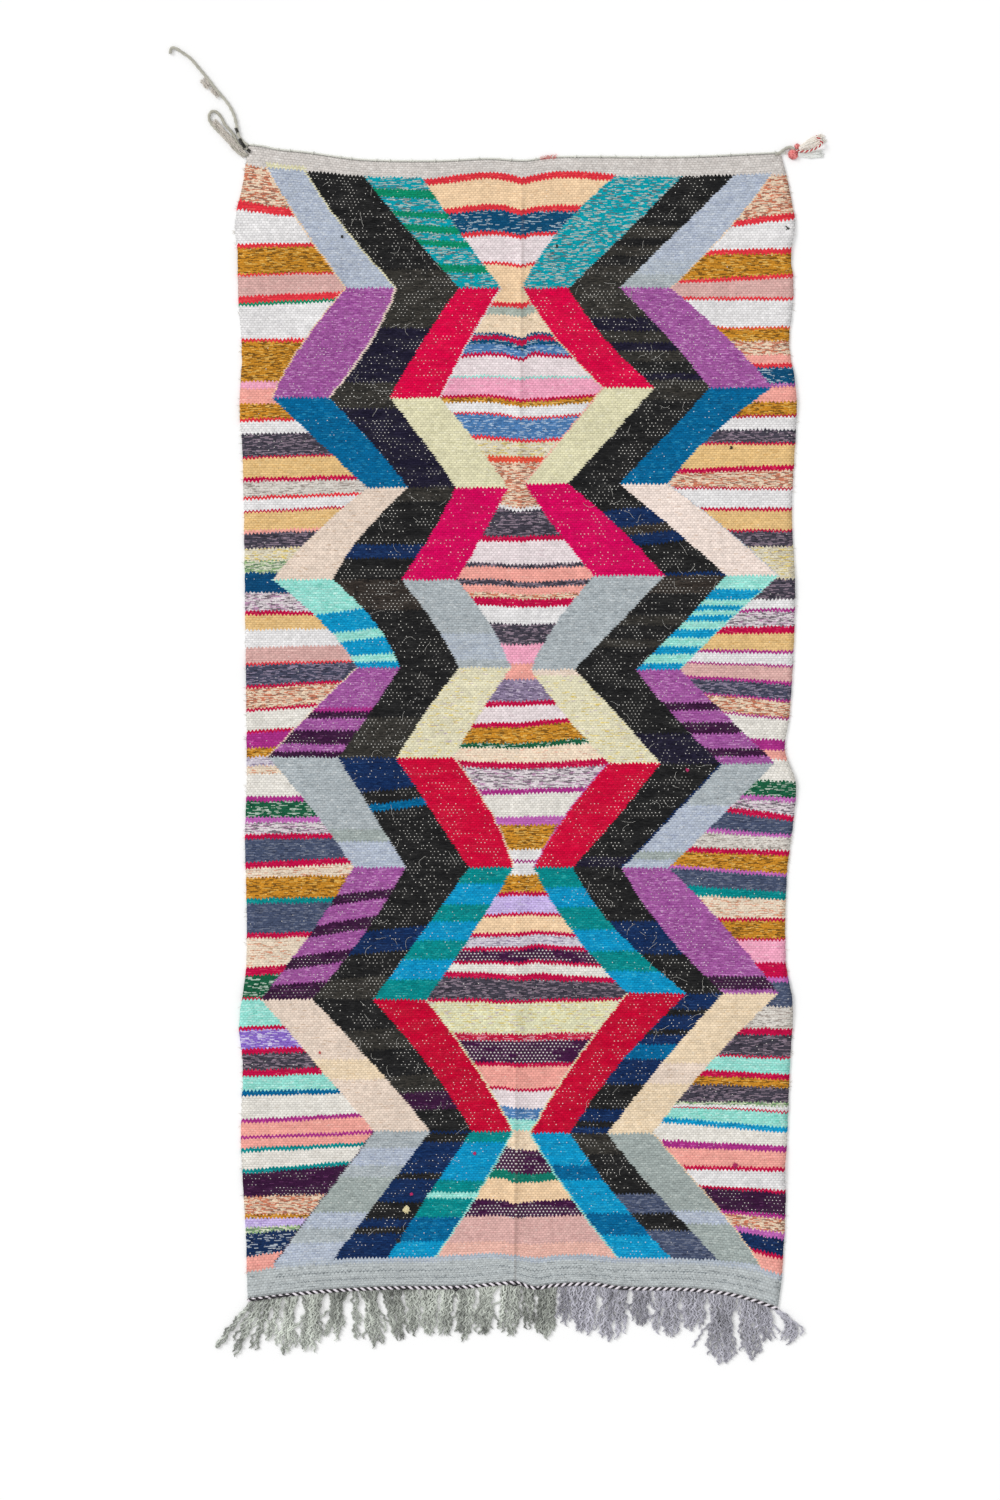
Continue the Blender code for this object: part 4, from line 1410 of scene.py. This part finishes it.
def crinkled(root, tip, middle, gather, bend, pinch, rng):
    """A path from root to tip: its lock's lean and narrow waist, its own place there, and a woven crinkle.
    The middle and the gather are where the lock's root and tip stand."""
    straight = (tip - root).length
    steps = max(round(straight / FRINGE_STEP), 4)
    wave_a, wave_b = rng.uniform(0.011, 0.015), rng.uniform(0.03, 0.05)
    phase_a, phase_b, phase_z = (rng.uniform(0, math.tau) for _ in range(3))
    high = rng.choice((0.0, 0.0026, 0.0050))
    own_start, own_end = root.x - middle, tip.x - gather
    path = []
    for k in range(steps + 1):
        t = k / steps
        walked = t * straight
        ramp = min(1, t * 5)
        leaning = (gather - middle) * (2 * t * (1 - t) * bend + t * t)
        sway = CRINKLE * math.sin(math.tau * walked / wave_a + phase_a)
        sway += SWAY * math.sin(math.tau * walked / wave_b + phase_b)
        pinched = 1 - pinch * math.sin(math.pi * min(t / 0.85, 1)) ** 0.8
        own = own_start + (own_end - own_start) * t * t * (3 - 2 * t)
        x = middle + leaning + own * pinched + sway * ramp
        level = FRINGE_LOBE + 0.0002 + high * ramp * (1 - 0.75 * t)
        wave = 0.0008 * math.sin(math.tau * walked / wave_a + phase_z) * ramp
        path.append(Vector((x, root.y + (tip.y - root.y) * t, max(level + wave, FRINGE_LOBE + 0.0001))))
    return path


def fill_locks(locks, start, most_pinch, seed):
    rng = random.Random(seed)
    skein = Skein()
    for root_to, tip_x, half, below, bend, *few in locks:
        end = root_to * MM
        count = int(few[0]) if few else max(round((end - start) / YARN_SPACING), 3)
        pinch = rng.uniform(*most_pinch)
        for i in range(count):
            share = (i + rng.uniform(0.1, 0.9)) / count
            root = at_x(ROOT_LINE, start + (end - start) * share)
            reach = max(-1.0, min(1.0, share * 2 - 1 + rng.uniform(-0.4, 0.4)))
            if rng.random() < STRAYS:
                reach = rng.choice((-STRAY_REACH, STRAY_REACH))
            lowest = -RUG_LENGTH / 2 - below * MM
            short = SHORTER_EDGE * min(reach * reach, 1.5) + max(rng.gauss(0.05, 0.08), -0.02)
            tip = Vector(((tip_x + reach * WIDER * half) * MM, lowest + (root.y - lowest) * short, 0))
            path = crinkled(root, tip, (start + end) / 2, tip_x * MM, bend, pinch, rng)
            skein.add(path, (FRINGE_LOBE, FRINGE_GROOVE, rng.uniform(0.010, 0.013), 6), rng.uniform(0, 6), 2)
        start = end
    return skein


green_fringe = spun_yarn("green_grey_yarn", "c5cac1", "090c08", 0.62, 2.0)
lilac_fringe = spun_yarn("lilac_grey_yarn", "c4c3cd", "3e3c48", 0.55, 1.4)
green_skein = fill_locks(GREEN_LOCKS, FRINGE_START * MM, GREEN_PINCH, 11)
fringe_green = green_skein.piece("fringe_green_grey", green_fringe, "green_grey_yarn", "fringe_left")
lilac_skein = fill_locks(LILAC_LOCKS, GREEN_LOCKS[-1][0] * MM, LILAC_PINCH, 12)
fringe_lilac = lilac_skein.piece("fringe_lilac_grey", lilac_fringe, "lilac_grey_yarn", "fringe_right")

# %% [markdown]
# ## The tassel at the right corner
# Here the heading cord ends in a small bound tassel. A ball of red thread wraps its head, an upper lobe of
# cream wool turns up and a lower lobe of pale grey wool lies beside it, and a red and cream thread twists
# between them. Each lobe is a bundle of thin wavy yarns, because a smooth lump would look like plastic.

# %% Neck and woolly lobes of the tassel
cream_wool = spun_yarn("cream_wool", "faf6ee", "e4d8c8", 0.6, 0.3)
grey_wool = spun_yarn("grey_wool", "f4f5f2", "d8dbd5", 0.6, 0.3)
red_thread = spun_yarn("red_thread", "fca49e", "bc223a", 0.8, 0.5)
brown_thread = spun_yarn("brown_thread", "ce3e46", "702228", 0.8, 0.5)
tassel_rng = random.Random(5)

NECK_GAUGE = (0.0038, 0.0030, 0.020, 10)
NECK_HEIGHT = 0.0045
NECK_ROUTE = ((588, 1287), (598, 1290), (607, 1297), (616, 1302), (624, 1303), (632, 1297))
neck_path = resampled(curved(on_floor(NECK_ROUTE, NECK_HEIGHT), 6), YARN_STEP)
one_yarn(neck_path, NECK_GAUGE, "tassel_neck", tail_yarn, "heading_yarn", "corner_tassel")

WOOL_GAUGE = (0.0010, 0.0008, 0.008, 5)
WOOL_STEPS = 14
WOOL_LOWEST = 0.0011
WOOL_PILE = 0.0062  # how much higher the top yarns of a lobe lie
TASSEL_LOBES = (  # name, finish, from and to, half its width in millimetres, and its yarns
    ("tassel_upper_lobe", cream_wool, ((642, 1299), (703, 1327)), 11, 80),
    ("tassel_lower_lobe", grey_wool, ((640, 1287), (701, 1289)), 9, 70),
)
for name, finish, ends, half, yarns in TASSEL_LOBES:
    skein = Skein()
    start, end = on_floor(ends, 0)
    across = square_to((start, end), 0)
    for _ in range(yarns):
        side, level = tassel_rng.uniform(-1, 1), tassel_rng.uniform(0, 1)
        far = tassel_rng.uniform(0.75, 1.0)
        sway, phase = tassel_rng.uniform(0.6, 1.6) * MM, tassel_rng.uniform(0, 6)
        path = []
        for k in range(WOOL_STEPS + 1):
            t = k / WOOL_STEPS
            wide = half * MM * (0.35 + 0.65 * math.sin(math.pi * min(t * 1.25, 1) * 0.5))
            height = WOOL_LOWEST + (WOOL_PILE * level) * (1 - 0.55 * t) * math.sqrt(1 - side * side * 0.8)
            point = start.lerp(end, t * far) + across * (side * wide + sway * math.sin(t * 9 + phase))
            path.append(point + UP * height)
        skein.add(path, WOOL_GAUGE, taper=3)
    skein.piece(name, finish, "tassel_wool", "corner_tassel")

# %% Wound head and twisted thread of the tassel
WINDING_GAUGE = (0.0011, 0.0008, 0.005, 5)
TWIST_GAUGE = (0.0016, 0.0013, 0.005, 5)
TWIST_RADIUS = 0.0015
TWIST_HEIGHT = 0.0104
TWIST_STEP = 0.0012
TWIST_STEPS = 9  # to a turn
TWIST_ROUTE = (
    (636, 1294), (650, 1293), (660, 1293), (673, 1297), (685, 1303), (694, 1311), (689, 1320), (680, 1328),
)
BALLS = (((629, 1287), 12, 60), ((638, 1305), 6.5, 22))  # centre and radius in millimetres, turns of thread
BALL_STEPS = 12
BALL_LIFT = 0.002
BALL_HEIGHT = 0.8  # as a share of its radius

ball_skeins = (Skein(), Skein())
for (centre_x, centre_y), ball_radius, turns in BALLS:
    for turn in range(turns):
        side = tassel_rng.uniform(-0.9, 0.9)
        lean = math.pi * turn * 0.618
        ring_share = math.sqrt(1 - side * side)
        path = []
        for k in range(BALL_STEPS + 1):
            angle = math.pi * k / BALL_STEPS
            forth, up = ring_share * math.cos(angle), ring_share * math.sin(angle)
            radius = ball_radius * MM * tassel_rng.uniform(0.84, 0.96)
            x = centre_x * MM + radius * (side * math.cos(lean) - forth * math.sin(lean))
            y = centre_y * MM + radius * (side * math.sin(lean) + forth * math.cos(lean))
            path.append(Vector((x, y, BALL_LIFT + radius * up * BALL_HEIGHT)))
        ball_skeins[tassel_rng.random() < 0.3].add(path, WINDING_GAUGE)
ball_skeins[0].piece("tassel_red_binding", red_thread, "tassel_wool")
ball_skeins[1].piece("tassel_dark_binding", brown_thread, "tassel_wool")

twist_path = resampled(curved(on_floor(TWIST_ROUTE, TWIST_HEIGHT), 6), TWIST_STEP)
for strand, finish in enumerate((brown_thread, cream_wool)):
    angles = [math.tau * i / TWIST_STEPS + strand * math.pi for i in range(len(twist_path))]
    path = wound(twist_path, TWIST_RADIUS, angles)
    one_yarn(path, TWIST_GAUGE, f"tassel_twist_{finish.name}", finish, "tassel_wool")

# %% [markdown]
# ## Lint and loose fibres
# Old wool sheds. Pale hairs lie over the dark bands, and a small tuft of red is caught in the top edge. They
# are real threads lying on the cloth, so they are thin meshes and not paint.

# %% Loose hairs
HAIR_COUNT = 130
HAIR_GAUGE = (0.00035, 0.00035, 0.01, 3)
HAIR_STEP = 0.0035
HAIR_LIFT = 0.0008
BARE_LINES = (20, 40)  # chart lines without hairs, at the top and at the bottom
TUFT_GAUGE = (0.0005, 0.0005, 0.01, 3)
TUFT_ENDS = (55, 91)  # millimetres from the middle
TUFT_HAIRS = 60
TUFT_STEP = 0.003
dark_numbers = {YARN_NUMBER[name] for name in ("black", "midnight", "ash", "navy", "umber")}


def heading_for(angle):
    return Vector((math.cos(angle), math.sin(angle), 0))


hair_yarn = spun_yarn("pale_hair", "d6d4ce", "b4b2ac")
hair_rng = random.Random(21)
hairs = Skein()
while hairs.yarns < HAIR_COUNT:
    line = hair_rng.randrange(BARE_LINES[0], LINES - BARE_LINES[1])
    zone = hair_rng.choice((2, 6))
    x = hair_rng.uniform(border_x(zone - 1, line), border_x(zone, line))
    if zones[zone][line] not in dark_numbers:
        continue
    angle = hair_rng.uniform(0, math.tau)
    curl = hair_rng.uniform(-70, 70)
    spot = Vector((x, RUG_LENGTH / 2 - line * LINE, 0))
    path = []
    for _ in range(hair_rng.randrange(6, 12)):
        path.append(spot + UP * (lift(spot.x, spot.y, line) + CLOTH_THICK + HAIR_LIFT))
        spot = spot + heading_for(angle) * HAIR_STEP
        angle += curl * HAIR_STEP + hair_rng.uniform(-0.35, 0.35)
    hairs.add(path, HAIR_GAUGE)
hairs.piece("loose_hairs", hair_yarn, "woven_wool")

tuft = Skein()
for _ in range(TUFT_HAIRS):
    path = [at_x(heading_line, hair_rng.uniform(*TUFT_ENDS) * MM) + Vector((0, -0.002, 0.004))]
    for _ in range(6):
        step = Vector((hair_rng.uniform(-1, 1), hair_rng.uniform(-0.6, 0.9), hair_rng.uniform(-0.3, 0.3)))
        path.append(path[-1] + step * TUFT_STEP)
        path[-1].z = max(path[-1].z, 0.002)
    tuft.add(path, TUFT_GAUGE)
tuft.piece("red_tuft", red_thread, "heading_yarn")

# %% Scraps caught in the weave
magenta_thread = spun_yarn("magenta_thread", "ce1e6e", "960e4c")
yellow_thread = spun_yarn("yellow_thread", "f0e8c4", "ceba78")
SCRAP_GAUGE = (0.0009, 0.0007, 0.006, 5)
SCRAP_LIFT = 0.0012
SCRAPS = (  # knots, ends of weft and bits of lint: x, y and size in millimetres, turns, and the thread
    (-248, -1107, 11, 9, yellow_thread), (-237, -1073, 4, 5, magenta_thread),
    (-94, -980, 4, 5, magenta_thread), (-445, -751, 4, 4, brown_thread), (-267, -1178, 6, 6, black_strand),
    (498, -1007, 9, 3, magenta_thread), (388, -110, 5, 5, magenta_thread), (-394, 1100, 4, 3, binding_yarn),
    (488, 621, 5, 5, binding_yarn), (93, 1077, 7, 1, binding_yarn), (617, 1118, 9, 1, binding_yarn),
)
scrap_skeins = {}
for x, y, size, turns, finish in SCRAPS:
    spot = Vector((x * MM, y * MM, 0))
    spot.z = lift(spot.x, spot.y, (RUG_LENGTH / 2 - spot.y) / LINE) + CLOTH_THICK + SCRAP_LIFT
    path = []
    for i in range(4 * turns + 1):
        angle = 2.4 * i + hair_rng.uniform(-0.5, 0.5)
        path.append(spot + heading_for(angle) * (size * MM * hair_rng.uniform(0.15, 1.0)))
    scrap_skeins.setdefault(finish, Skein()).add(curved(path, 3), SCRAP_GAUGE)
for finish, scrap_skein in scrap_skeins.items():
    scrap_skein.piece(f"scraps_of_{finish.name}", finish, "woven_wool")

# %% Hairs that stand out from the side edges
EDGE_HAIRS = 240
EDGE_HAIR_GAUGE = (0.0005, 0.0004, 0.01, 4)
EDGE_HAIR_STEP = 0.0018
BARE_END = 14  # chart lines without edge hairs at both ends
edge_skein = Skein()
for _ in range(EDGE_HAIRS):
    row_points = cloth_row(hair_rng.randrange(BARE_END, LINES - BARE_END))[0]
    side = hair_rng.choice((-1, 1))
    path = [(row_points[0] if side < 0 else row_points[-1]) + UP * (CLOTH_THICK / 2)]
    angle = hair_rng.uniform(-1.1, 1.1)
    for _ in range(hair_rng.randrange(2, 6)):
        angle += hair_rng.uniform(-0.7, 0.7)
        step = heading_for(angle)
        step.x *= side
        path.append(path[-1] + step * EDGE_HAIR_STEP)
    edge_skein.add(path, EDGE_HAIR_GAUGE, taper=2)
edge_skein.piece("edge_hairs", fluff_yarn, "woven_wool")

# %% [markdown]

# %% [markdown]
# ## Floor and light
# The rug lies on a plain white floor in even studio light, so that the dyes show as they are. A bright sky
# does most of the work. One wide, soft sun from the upper left adds just enough direction to show the weave,
# the ripples and the fold. A sun is used and not a near lamp because it lights every part of the floor alike.

# %% Floor, sky and lamp
FLOOR_HALF = 12
SUN_FROM = Vector((-2.6, 1.6, 2.2))

paper, paper_shader = new_material("pale_paper")
feed(paper_shader, {"Base Color": (0.98, 0.98, 0.98, 1), "Roughness": 1, "Specular IOR Level": 0})
floor_mesh = bpy.data.meshes.new("studio_floor")
corners = [(x * FLOOR_HALF, y * FLOOR_HALF, 0) for x, y in ((-1, -1), (1, -1), (1, 1), (-1, 1))]
floor_mesh.from_pydata(corners, [], [(0, 1, 2, 3)])
floor_mesh.materials.append(paper)
floor = add_object("studio_floor", floor_mesh)

world = bpy.data.worlds.new("studio_sky")
world.use_nodes = True
feed(world.node_tree.nodes["Background"], {"Color": (1, 1, 1, 1), "Strength": 0.78})
bpy.context.scene.world = world

sun_data = bpy.data.lights.new("soft_sun", "SUN")
sun_data.energy = 1.35
sun_data.angle = math.radians(25)
sun = add_object("soft_sun", sun_data)
sun.location = SUN_FROM
sun.rotation_euler = (-SUN_FROM).to_track_quat("-Z", "Y").to_euler()
bpy.context.scene.view_settings.view_transform = "Standard"
